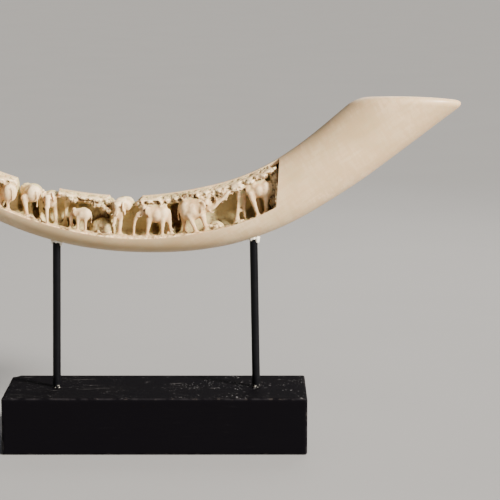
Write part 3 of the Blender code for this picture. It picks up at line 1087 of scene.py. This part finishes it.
@dataclass(frozen=True)
class LeafBank:
    """A run of leaf clusters or stones between two X."""

    start: float
    end: float
    depth: float
    level: float
    size: float
    leaves: int = 7
    slope: float = 0.0

    def build(self, form: TuskForm, chance: random.Random) -> Object:
        """Model the run.

        Args:
            form: The tusk it is in.
            chance: Source of its unevenness.

        Returns:
            Overlapping closed shapes in one object.
        """
        bm = bmesh.new()
        count = max(round((self.end - self.start) / self.size), 1)
        for i in range(count + 1):
            x = self.start + (self.end - self.start) * (i + chance.uniform(-0.3, 0.3)) / count
            depth = self.depth + chance.uniform(-0.10, 0.10)
            level = self.level + self.slope * i / count + chance.uniform(-0.06, 0.06)
            centre = form.inside(x, depth, level)
            core = self.size * chance.uniform(0.70, 0.95)
            blob(bm, centre, (core, core * 0.9, core * 0.8), (chance.uniform(0, math.pi), 0, 0), detail=2)
            for _ in range(self.leaves):
                way = Vector((chance.gauss(0, 1), chance.gauss(-0.5, 0.8), chance.gauss(-0.1, 1)))
                way.normalize()
                half = self.size * chance.uniform(0.32, 0.50)
                turns = [chance.uniform(0, math.pi) for _ in range(3)]
                blob(bm, centre + way * self.size * 0.65, (half, half * 0.6, half * 1.4), turns, detail=1)
        return object_of(bm, "bank")


@dataclass(frozen=True)
class Tree:
    """A tree trunk between the ground and the foliage, flared at both ends."""

    x: float
    y: float
    radius: float
    top_level: float
    lean: float = 0.002

    def build(self, gallery: Gallery) -> Object:
        """Model the trunk.

        Args:
            gallery: Where it stands.

        Returns:
            Overlapping closed shapes in one object.
        """
        foot = gallery.form.inside(self.x, 0, gallery.ground)
        top = gallery.form.inside(self.x + self.lean, 0, self.top_level)
        foot.y = top.y = self.y
        bm = bmesh.new()
        points = [foot.lerp(top, share) for share in (0.0, 0.18, 0.42, 0.62, 0.85, 1.0)]
        limb(bm, points, (1.9, 1.05, 0.85, 1.0, 1.7, 2.4), self.radius)
        return object_of(bm, "tree")


@dataclass(frozen=True)
class Mound:
    """A smooth swelling of the wall or the ground."""

    place: Triple
    half: Triple

    def build(self) -> Object:
        """Model the swelling."""
        bm = bmesh.new()
        blob(bm, Vector(self.place), self.half)
        return object_of(bm, "mound")


@dataclass(frozen=True)
class Hollow:
    """A place in the wall where the wash has gathered, sunk in or only stained."""

    x: float
    z: float
    half_length: float
    half_height: float
    sink: float = 0.0
    stain: float = 1.0
    wall_y: float = 0.0045

    def cutter(self) -> Object:
        """The closed ellipsoid that is cut from the wall."""
        bm = bmesh.new()
        blob(bm, Vector((self.x, self.wall_y, self.z)), (self.half_length, self.sink, self.half_height))
        return object_of(bm, "hollow")

    def stained(self, rows: np.ndarray, uneven: np.ndarray | float = 0.0) -> np.ndarray:
        """How stained each of many points is, from 0 to 1.

        Args:
            rows: The points.
            uneven: What is added to each point's distance from the middle, as a share of the size.

        Returns:
            The stain.
        """
        away = np.hypot((rows[:, 0] - self.x) / self.half_length, (rows[:, 2] - self.z) / self.half_height)
        return self.stain * (1 - ramp(away + uneven, 0.65, 1.35))


@dataclass(frozen=True)
class Carving:
    """The scene in the gallery: walls, ground, procession, foliage and stones, all of one casting."""

    gallery: Gallery
    seed: int = 11
    voxel: float = 0.00046
    triangles: int = 150000
    wall_points: int = 72
    walls_past_ends: float = 0.006
    web: float = 0.0008
    soften_times: int = 2
    rough_height: float = 0.0013
    search_reach: float = 0.004
    near_rounds: int = 8
    ridge_rounds: int = 16
    wide_rounds: int = 60
    herd: tuple[Elephant, ...] = (
        Elephant(
            -0.1390, -0.005, 0.0180, 170, Trunk.DOWN,
            ((-0.26, -0.22, 0.1), (0.2, 0.26, 0.1), (0.05, 0.1, -0.1)),
        ),
        Elephant(
            -0.1225, -0.006, 0.0205, 188, Trunk.CURLED,
            ((-0.2, -0.26, 0.12), (0.2, 0.16, 0.12), (0.3, 0.34, -0.1)),
        ),
        Elephant(
            -0.1048, -0.006, 0.0198, 118, Trunk.DOWN, ((-0.04, 0.00, 0.16), (-0.32, -0.30, 0.0)),
            belly=0.28, length=0.9, girth=1.1,
        ),
        Elephant(
            -0.0885, -0.003, 0.0244, 122, Trunk.DOWN, ((-0.20, -0.13, 0.20), (0.22, 0.24, -0.24)),
            belly=0.44, length=0.86, girth=0.96,
        ),
        Elephant(
            -0.0750, -0.003, 0.0234, 262, Trunk.DOWN, ((0.10, 0.14, -0.10),),
            belly=0.46, length=0.8, girth=0.80, ear_lift=0.1, nod=0.06, backing=0.36,
        ),
        Elephant(
            -0.0512, -0.010, 0.0172, 164, Trunk.CURLED,
            ((-0.20, -0.24, 0.12), (0.10, 0.10, 0.12), (-0.5, -0.55, -0.1)),
            belly=0.44, length=0.92,
        ),
        Elephant(
            -0.0217, -0.002, 0.0276, 236, Trunk.HANGING, ((-0.08, -0.14, 0.20),),
            belly=0.58, length=0.76, girth=0.82, nod=0.06, backing=0.24,
        ),
        Elephant(
            0.0025, -0.008, 0.0222, 184, Trunk.FORWARD,
            ((-0.27, -0.36, 0.12), (0.16, 0.13, 0.12), (0.34, 0.42, -0.06)),
        ),
        Elephant(
            0.0272, -0.009, 0.0248, -6, Trunk.RAISED,
            ((-0.08, 0.13, 0.15), (0.30, 0.42, 0.10), (-0.26, -0.22, -0.12)),
            belly=0.34,
        ),
        Elephant(
            0.0762, -0.007, 0.0256, 172, Trunk.STRAIGHT,
            ((-0.28, -0.06, 0.14), (0.14, 0.17, 0.12), (-0.1, 0.02, -0.2)),
            belly=0.46, length=0.92, nod=0.10,
        ),
    )
    banks: tuple[LeafBank, ...] = (
        LeafBank(-0.150, -0.101, -0.36, 0.84, 0.0024),
        LeafBank(-0.067, -0.034, -0.36, 0.84, 0.0024),
        LeafBank(-0.009, 0.086, -0.36, 0.85, 0.0023),
        LeafBank(-0.148, -0.105, -0.42, 0.70, 0.0020),
        LeafBank(-0.061, -0.057, -0.44, 0.72, 0.0022),
        LeafBank(-0.0425, -0.033, -0.44, 0.68, 0.0024, 8, -0.20),
        LeafBank(-0.009, 0.008, -0.42, 0.66, 0.0024, 7, -0.06),
        LeafBank(0.024, 0.034, -0.36, 0.68, 0.0022),
        LeafBank(-0.083, -0.081, -0.20, 0.80, 0.0015),
        LeafBank(0.042, 0.057, -0.44, 0.48, 0.0030, 8, 0.26),
        LeafBank(0.045, 0.057, -0.40, 0.68, 0.0030, 8, 0.10),
        LeafBank(0.040, 0.047, -0.40, 0.70, 0.0026),
        LeafBank(0.055, 0.066, -0.46, 0.72, 0.0028, 8, 0.02),
        LeafBank(0.068, 0.0835, -0.46, 0.84, 0.0026, 8, 0.0),
        LeafBank(-0.091, -0.080, -0.62, -0.30, 0.0016),
        LeafBank(-0.044, -0.032, -0.50, -0.34, 0.0012),
        LeafBank(0.009, 0.012, -0.36, -0.24, 0.0018),
        LeafBank(0.039, 0.047, -0.50, -0.24, 0.0020),
        LeafBank(0.060, 0.080, -0.60, -0.33, 0.0010),
    )
    trees: tuple[Tree, ...] = (Tree(0.0592, -0.006, 0.0014, 0.72), Tree(-0.0655, 0.001, 0.0014, 0.60))
    mounds: tuple[Mound, ...] = (
        Mound((-0.0380, 0.0010, 0.1585), (0.0095, 0.0075, 0.0095)),
        Mound((-0.0310, 0.0030, 0.1740), (0.0024, 0.0060, 0.0080)),
        Mound((0.0445, -0.0030, 0.1610), (0.0060, 0.0065, 0.0050)),
        Mound((0.0868, -0.0020, 0.1890), (0.0045, 0.0100, 0.0170)),
    )
    hollows: tuple[Hollow, ...] = (
        Hollow(0.0150, 0.1685, 0.0046, 0.0130, 0.0065, 1.00),
        Hollow(0.0190, 0.1845, 0.0105, 0.0032, 0.0, 0.80),
        Hollow(0.0001, 0.1590, 0.0028, 0.0050, 0.0050, 0.60),
        Hollow(-0.0325, 0.1740, 0.0036, 0.0085, 0.0055, 0.90),
        Hollow(-0.0375, 0.1795, 0.0040, 0.0026, 0.0, 0.70),
        Hollow(-0.0505, 0.1795, 0.0075, 0.0050, 0.0015, 0.35),
        Hollow(-0.0610, 0.1815, 0.0030, 0.0060, 0.0, 0.50),
        Hollow(-0.0845, 0.1760, 0.0050, 0.0115, 0.0065, 0.85),
        Hollow(-0.0380, 0.1640, 0.0090, 0.0085, 0.0, 0.95),
        Hollow(-0.0976, 0.1790, 0.0024, 0.0080, 0.0040, 0.60),
        Hollow(-0.1084, 0.1763, 0.0022, 0.0035, 0.0040, 0.90),
        Hollow(-0.0631, 0.1635, 0.0055, 0.0035, 0.0040, 0.80),
        Hollow(0.0695, 0.1705, 0.0034, 0.0055, 0.0035, 0.50),
        Hollow(0.0860, 0.1860, 0.0040, 0.0150, 0.0, 0.35),
        Hollow(0.0450, 0.1625, 0.0060, 0.0060, 0.0, 0.50),
    )

    def build(self) -> Object:
        """Model the carved inside of the tusk.

        Returns:
            One fused mesh with the vertex values that the resin's finish reads.
        """
        chance = random.Random(self.seed)
        animals = [animal.build(self.gallery) for animal in self.herd]
        trims = [animal.build_trim(self.gallery) for animal in self.herd]
        trees = [tree.build(self.gallery) for tree in self.trees]
        growth = [bank.build(self.gallery.form, chance) for bank in self.banks]
        mounds = [mound.build() for mound in self.mounds]
        herd_surface, growth_surface = surface_of(animals + trims), surface_of(growth)
        backings = [animal.build_backing(self.gallery) for animal in self.herd]
        carving = self._walls()
        merge(carving, animals + growth + mounds + backings + trees)
        remesh(carving, self.voxel)
        swell(carving, self.web)
        remesh(carving, self.voxel)
        swell(carving, -self.web)
        merge(carving, trims)
        remesh(carving, self.voxel)
        soften(carving, self.soften_times)
        self._roughen(carving.data, herd_surface, growth_surface)
        self._keep_inside(carving.data)
        lighten(carving, self.triangles)
        self._store_values(carving.data, herd_surface, growth_surface)
        return carving

    def _walls(self) -> Object:
        """Model the walls and floor of the hollow.

        Returns:
            A solid just under the tusk's skin, with the hollow, gaps and pockets cut from it.
        """
        outline = [(depth * UNDER_SKIN, level * UNDER_SKIN) for depth, level in circle(self.wall_points)]
        stations = self.gallery.stations(self.walls_past_ends)
        bm = bmesh.new()
        bridge_rings(bm, [[self.gallery.form.point(at, *place) for place in outline] for at in stations])
        walls = object_of(bm, "carving")
        cuts = [self.gallery.cutter(self.gallery.hollow, 0.0), *self.gallery.gap_cutters(0.0)]
        cut_away(walls, cuts + [hollow.cutter() for hollow in self.hollows if hollow.sink > 0])
        return walls

    def _roughen(self, mesh: Mesh, herd_surface: BVHTree, growth_surface: BVHTree) -> None:
        """Break up foliage, ground and rims with chisel marks, and the rest with gentle waves.

        Args:
            mesh: The fused carving.
            herd_surface: The animals' surface.
            growth_surface: The foliage's and stones' surface.
        """
        rows, normals = points_of(mesh), normals_of(mesh)
        rough = self._roughness(rows, herd_surface, growth_surface)
        push = np.empty(len(rows))
        for i, row in enumerate(rows):
            place = Vector(row)
            wrinkles = noise.noise(Vector((row[0] * 260, row[1] * 260, row[2] * 1300)))
            waves = 0.14 * noise.noise(place * 330) + 0.10 * noise.noise(place * 850) - 0.11 * abs(wrinkles)
            if rough[i] > 0.01:
                lumps = noise.noise(place * 300 + Vector((2, 9, 4)))
                chips = noise.noise(place * 640)
                ridges = abs(noise.noise(place * 1150 + Vector((7, 3, 1))))
                waves += rough[i] * (0.75 * lumps + 0.60 * chips + 0.65 * (0.2 - ridges) - 0.12)
            push[i] = waves
        move_points(mesh, rows + normals * (push * self.rough_height)[:, None])

    def _roughness(self, rows: np.ndarray, herd_surface: BVHTree, growth_surface: BVHTree) -> np.ndarray:
        """How rough each point is: growth, ground and rims are, animals and walls aren't.

        Args:
            rows: The points.
            herd_surface: The animals' surface.
            growth_surface: The foliage's and stones' surface.

        Returns:
            The roughness, from 0 to 1.
        """
        _, depth, level = self.gallery.form.shares_of(rows)
        on_growth = 1 - ramp(self._distances(rows, growth_surface), 0.0004, 0.0012)
        on_rim = ramp(level, 0.60, 0.70) * (1 - ramp(depth, -0.10, 0.20))
        on_ground = 0.6 * ramp(-level, 0.26, 0.31) * (1 - ramp(depth, -0.50, -0.20))
        off_herd = ramp(self._distances(rows, herd_surface), 0.0003, 0.0010)
        in_pocket = 0.3 * self._stain(rows)
        end = self.gallery.root_x
        on_end = 0.8 * ramp(rows[:, 0], end - 0.0055, end - 0.003)
        return np.maximum.reduce([on_growth, on_rim, on_ground, in_pocket, on_end]) * off_herd

    def _stain(self, rows: np.ndarray) -> np.ndarray:
        """How much wash has gathered at each point: in the pockets, and low down at the back."""
        _, depth, level = self.gallery.form.shares_of(rows)
        pooled = 0.35 * ramp(depth, -0.3, 0.1) * ramp(-level, 0.05, 0.34)
        uneven = np.array([0.7 * noise.noise(Vector(row) * 330) for row in rows])
        return np.maximum.reduce([pooled, *(hollow.stained(rows, uneven) for hollow in self.hollows)])

    def _keep_inside(self, mesh: Mesh) -> None:
        """Bring every point back under the tusk's skin.

        Args:
            mesh: The fused carving.
        """
        rows = points_of(mesh)
        station, depth, level = self.gallery.form.shares_of(rows)
        size = np.hypot(depth, level)
        for i in np.nonzero(size > UNDER_SKIN)[0]:
            shrink = UNDER_SKIN / size[i]
            rows[i] = self.gallery.form.point(station[i], depth[i] * shrink, level[i] * shrink)
        move_points(mesh, rows)

    def _store_values(self, mesh: Mesh, herd_surface: BVHTree, growth_surface: BVHTree) -> None:
        """Store what the resin's finish reads.

        Args:
            mesh: The finished carving.
            herd_surface: The animals' surface.
            growth_surface: The foliage's and stones' surface.
        """
        rows = points_of(mesh)
        _, depth, level = self.gallery.form.shares_of(rows)
        figure = 1 - ramp(self._distances(rows, herd_surface), 0.0004, 0.0011)
        near_pit = ramp(hollowness(mesh, self.near_rounds), 0.00003, 0.00030)
        wide_pit = ramp(hollowness(mesh, self.wide_rounds), 0.0, 0.0016)
        eyes = [eye for animal in self.herd for eye in animal.eyes(self.gallery)]
        from_eye = np.min([np.linalg.norm(rows - np.array(eye), axis=1) for eye in eyes], axis=0)
        store(
            mesh,
            carved=np.ones(len(rows)),
            depth=ramp(depth, -0.75, 0.35),
            pit=np.clip(0.7 * near_pit + 0.6 * wide_pit, 0, 1),
            # ridge and crest drive the finish's painted highlight on ridges, paler higher up.
            ridge=ramp(-hollowness(mesh, self.ridge_rounds), 0.0003, 0.0010),
            crest=ramp(level, 0.35, 0.80),
            figure=figure,
            eye=1 - ramp(from_eye, 0.0008, 0.0014),
            rough=self._roughness(rows, herd_surface, growth_surface),
            stain=self._stain(rows) * (1 - 0.85 * figure),
        )

    def _distances(self, rows: np.ndarray, surface: BVHTree) -> np.ndarray:
        """Distance of each point from a surface, up to the search's reach."""
        found = (surface.find_nearest(row, self.search_reach)[3] for row in rows)
        return np.array([self.search_reach if distance is None else distance for distance in found])


@dataclass(frozen=True)
class CarvedTusk:
    """The whole casting: smooth root, tip and back, and the carved gallery."""

    gallery: Gallery = Gallery()
    ring_points: int = 96
    ring_spacing: float = 0.0026
    sharp_angle: float = math.radians(38)
    tints: tuple[Hollow, ...] = (
        Hollow(0.1560, 0.2330, 0.0230, 0.0150, 0.0, 0.85),
        Hollow(0.1150, 0.2040, 0.0200, 0.0150, 0.0, 0.70),
        Hollow(0.1350, 0.2200, 0.0240, 0.0160, 0.0, 0.45),
    )

    def build(self) -> Object:
        """Model the tusk as one piece.

        Returns:
            The piece, smooth over all its faces, which carry one material.
        """
        bm = bmesh.new()
        bridge_rings(bm, self.gallery.form.rings(self.ring_points, self.ring_spacing))
        tusk = object_of(bm, "tusk_casting")
        hidden = self.gallery.hidden_under
        window = self.gallery.cutter(self.gallery.behind, hidden)
        cut_away(tusk, [window, *self.gallery.gap_cutters(hidden * 0.3)])
        tusk.data.set_sharp_from_angle(angle=self.sharp_angle)
        self._store_values(tusk.data)
        merge(tusk, [Carving(self.gallery).build()])
        for face in tusk.data.polygons:
            face.use_smooth = True
            face.material_index = 0
        return tusk

    def _store_values(self, mesh: Mesh) -> None:
        """Store what the resin's finish reads, for the smooth skin and the cuts into it.

        Args:
            mesh: The tusk without its carving.
        """
        rows = points_of(mesh)
        _, depth, level = self.gallery.form.shares_of(rows)
        beyond = (rows[:, 0] > self.gallery.root_x + 0.004) | (rows[:, 0] < self.gallery.tip_x - 0.010)
        store(mesh, carved=np.where(beyond | (np.hypot(depth, level) > UNDER_SKIN), 0.0, 1.0))
        store(mesh, **{name: np.zeros(len(rows)) for name in CARVED_VALUES[1:-1]})
        # Painted shade: below darkens the skin to olive towards its underside, fading out towards the root;
        # the tints are olive patches.
        below = 0.40 * ramp(-level, 0.45, 0.95) * (1 - ramp(rows[:, 0], -0.02, 0.10))
        store(mesh, stain=np.maximum.reduce([below, *(tint.stained(rows) for tint in self.tints)]))


# --- The stand -------------------------------------------------------------------------------------------


@dataclass
class Rod:
    """A round rod between the block and the tusk, with the filler that holds its top.

    A drip of filler is (way round the rod in radians, length, size).
    """

    node: str
    side: int
    form: TuskForm
    drips: tuple[Triple, ...]
    radius: float = 0.0029
    foot_x: float = 0.0733
    y: float = -0.001
    lean: float = math.radians(1.0)
    in_block: float = 0.010
    in_tusk: float = 0.004
    rings: int = 61
    sides: int = 48
    uneven: float = 0.012
    flecked: Share = (0.0006, 0.0022)
    seed: int = 20
    drops: int = 16
    drop_sizes: Share = (0.0008, 0.0014)
    voxel: float = 0.0003
    soften_times: int = 6

    def __post_init__(self) -> None:
        """Find where the rod stands and how far it reaches between the block and the tusk."""
        self.foot_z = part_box("base")[1][2]
        foot = Matrix.Translation((self.side * self.foot_x, self.y, self.foot_z))
        self.place = foot @ Matrix.Rotation(-self.side * self.lean, 4, "Y")
        self.reach = 0.11
        for _ in range(8):
            point = self.place @ Vector((0, 0, self.reach))
            self.reach += self.form.inside(point.x, 0, -1).z - point.z

    def build(self) -> Object:
        """Model the rod, very slightly uneven under its paint.

        Returns:
            The piece, with the vertex value foot.
        """
        low, high = -self.in_block, self.reach + self.in_tusk
        rings = []
        for i in range(self.rings):
            up = low + (high - low) * i / (self.rings - 1)
            swelling = 1 + self.uneven * noise.noise(Vector((self.side * 3.0, 0, up * 90)))
            ring = [Vector((*way, 0)) * self.radius * swelling for way in circle(self.sides)]
            rings.append([self.place @ (point + Vector((0, 0, up))) for point in ring])
        bm = bmesh.new()
        bridge_rings(bm, rings)
        rod = object_of(bm, f"{self.node}_painted")
        heights = points_of(rod.data)[:, 2] - self.foot_z
        store(rod.data, foot=1 - ramp(heights, *self.flecked))
        return rod

    def build_filler(self) -> Object:
        """Model the filler as fused drops round the rod's top.

        Returns:
            The piece.
        """
        bm = bmesh.new()
        chance = random.Random(self.seed + self.side)
        for way in circle(self.drops):
            size = chance.uniform(*self.drop_sizes)
            around = Vector((*way, 0)) * (self.radius + 0.0003)
            top = self.place @ (around + Vector((0, 0, self.reach)))
            top.z = min(top.z, self.form.inside(top.x, 0, -1).z) + 0.0004
            blob(bm, top, (size, size, size * 1.1))
        for turn, length, size in self.drips:
            around = Vector((math.cos(turn), math.sin(turn), 0)) * (self.radius + size * 0.25)
            ups = [self.reach + 0.0006 - length * k / 3 for k in range(4)]
            points = [self.place @ (around + Vector((0, 0, up))) for up in ups]
            limb(bm, points, (1.5, 1.2, 1.0, 0.8), size)
        filler = object_of(bm, f"filler_{self.node}")
        remesh(filler, self.voxel)
        soften(filler, self.soften_times)
        return filler


@dataclass(frozen=True)
class StandBlock:
    """The painted wooden block, its edges eased and one corner knocked."""

    edge: float = 0.0014
    edge_steps: int = 3
    cell: float = 0.0030
    knock_radius: float = 0.0065
    knock_depth: float = 0.0016
    worn_within: Share = (0.0003, 0.0015)
    dent_depth: float = 0.00022
    flat_under: float = 0.002
    rubbed_from: float = -0.020
    rubbed_to: float = 0.060

    def build(self) -> Object:
        """Model the block in the space of its solid.

        Returns:
            The piece, with the vertex values edge, upward and handled.
        """
        low, high = (Vector(corner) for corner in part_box("base"))
        size = high - low
        bm = bmesh.new()
        place = Matrix.Translation((low + high) / 2) @ Matrix.Diagonal((*size, 1.0))
        bmesh.ops.create_cube(bm, size=1.0, matrix=place)
        for axis in range(3):
            steps = round(size[axis] / self.cell)
            for i in range(1, steps):
                point, normal = Vector(low), Vector((0, 0, 0))
                point[axis] += size[axis] * i / steps
                normal[axis] = 1
                cut_by_plane(bm, point, normal)
        sharp = [edge for edge in bm.edges if edge.calc_face_angle(0) > 1]
        bmesh.ops.bevel(
            bm, geom=sharp, offset=self.edge, segments=self.edge_steps, profile=0.5, affect="EDGES",
            material=-1,
        )
        block = object_of(bm, "base_painted")
        self._wear(block.data, low, high)
        return block

    def _wear(self, mesh: Mesh, low: Vector, high: Vector) -> None:
        """Knock one corner, dent the edges, and store where paint is worn or dusty.

        Args:
            mesh: The block's mesh.
            low: Lowest corner of the block.
            high: Highest corner of the block.
        """
        rows, normals = points_of(mesh), normals_of(mesh)
        inner = np.minimum(rows - np.array(low), np.array(high) - rows)
        near_edge = 1 - ramp(np.sort(inner, axis=1)[:, 1], *self.worn_within)
        corner = np.array((low.x, high.y, high.z))
        knocked = 1 - ramp(np.linalg.norm(rows - corner, axis=1), 0.001, self.knock_radius)
        dents = np.array([noise.noise(Vector(row) * 160) for row in rows])
        sink = self.dent_depth * near_edge * np.clip(dents + 0.1, 0, 1) * 2 + self.knock_depth * knocked
        sink[rows[:, 2] < low.z + self.flat_under] = 0.0
        move_points(mesh, rows - normals * sink[:, None])
        upward = ramp(normals[:, 2], 0.5, 0.9)
        handled = upward * (0.55 + 0.45 * ramp(rows[:, 0], self.rubbed_from, self.rubbed_to))
        store(mesh, edge=np.clip(near_edge + knocked, 0, 1), upward=upward, handled=handled)


# --- Floor, lights and camera ----------------------------------------------------------------------------


@dataclass(frozen=True)
class Studio:
    """Pale floor, soft lights and the camera."""

    floor_size: float = 36.0
    sky_color: Color = (0.80, 0.82, 0.86)
    sky_strength: float = 0.16
    aim: Triple = (0.04, 0.0, 0.17)
    camera_place: Triple = (0.0674, -1.2878, 0.3716)
    camera_pitch: float = math.radians(90 - 10.02)
    camera_yaw: float = math.radians(-0.06)
    lens: float = 129.6
    sensor: float = 36.0
    key_width: float = math.radians(12)

    def build(self) -> None:
        """Set up the floor, the world, the lights and the camera."""
        bm = bmesh.new()
        bmesh.ops.create_grid(bm, x_segments=8, y_segments=8, size=self.floor_size / 2)
        floor = object_of(bm, "floor")
        floor.data.materials.append(FloorFinish().build())
        world = bpy.data.worlds.new("studio")
        world.use_nodes = True
        sky = world.node_tree.nodes["Background"]
        sky.inputs["Color"].default_value = (*self.sky_color, 1.0)
        sky.inputs["Strength"].default_value = self.sky_strength
        bpy.context.scene.world = world
        warm = (1.0, 0.955, 0.89)
        self._lamp("key", "SUN", (1.0, -0.72, 0.66), (0, 0, 0), 12.5, warm, angle=self.key_width)
        self._lamp("fill", "AREA", (0.75, -0.80, 1.10), self.aim, 12.0, (1.0, 0.98, 0.95), size=0.8)
        self._lamp("rim", "AREA", (0.3, 0.9, 0.8), self.aim, 5.0, (1.0, 0.97, 0.93), size=0.7)
        self._camera()

    @staticmethod
    def _lamp(
        name: str, kind: str, place: Triple, aim: Triple, power: float, color: Color, **shape: float
    ) -> None:
        """Add a lamp.

        Args:
            name: Its name.
            kind: Its type, SUN for even light from far away or AREA for a square soft light.
            place: Where it is.
            aim: What it points at.
            power: Its power in watts, for a sun in watts a square metre.
            color: Its colour.
            **shape: The square's side as size, or how wide a sun looks as angle.
        """
        lamp = bpy.data.lights.new(name, kind)
        lamp.energy, lamp.color = power, color
        for setting, number in shape.items():
            setattr(lamp, setting, number)
        made = add_object(name, lamp)
        made.location = place
        made.rotation_euler = (Vector(place) - Vector(aim)).to_track_quat("Z", "Y").to_euler()

    def _camera(self) -> None:
        """Add the camera, level and looking a little down."""
        lens = bpy.data.cameras.new("camera")
        lens.lens, lens.sensor_width = self.lens, self.sensor
        lens.clip_start, lens.clip_end = 0.05, 20.0
        made = add_object("camera", lens)
        made.location = self.camera_place
        made.rotation_euler = (self.camera_pitch, 0, self.camera_yaw)
        bpy.context.scene.camera = made


# --- Handing over ----------------------------------------------------------------------------------------


def hand_over(piece: Object, material: Material, slot: str, *nodes: str) -> None:
    """Give a piece its material, tie it to the frame and report it.

    Args:
        piece: The finished piece.
        material: Its finish.
        slot: Not used.
        nodes: CAD nodes it stands for.
    """
    piece.data.materials.clear()
    piece.data.materials.append(material)
    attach(piece, BODY)
    if nodes:
        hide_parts(*nodes)
    stands_for = ", ".join(nodes) or "no node"
    LOG.info("%s: %d triangles, stands for %s", piece.name, triangles_of(piece), stands_for)


def main() -> None:
    """Build the ornament piece by piece, then the studio."""
    logging.basicConfig(level=logging.INFO, format="%(message)s")
    carved = CarvedTusk()
    hand_over(carved.build(), ResinFinish().build(), "ivory_resin", "tusk")
    paint, filler = RodPaint().build(), FillerFinish().build()
    left_drips = ((3.3, 0.0024, 0.0009), (-0.35, 0.0034, 0.0011), (-1.6, 0.0012, 0.0009))
    right_drips = ((0.0, 0.0036, 0.0012), (-0.7, 0.0030, 0.0013), (-2.2, 0.0016, 0.0012))
    for node, side, drips in (("rod_left", -1, left_drips), ("rod_right", 1, right_drips)):
        rod = Rod(node, side, carved.gallery.form, drips)
        hand_over(rod.build(), paint, "black_metal", rod.node)
        hand_over(rod.build_filler(), filler, "ivory_resin")
    hand_over(StandBlock().build(), BlockPaint().build(), "black_wood", "base")
    Studio().build()


if __name__ == "__main__":
    main()
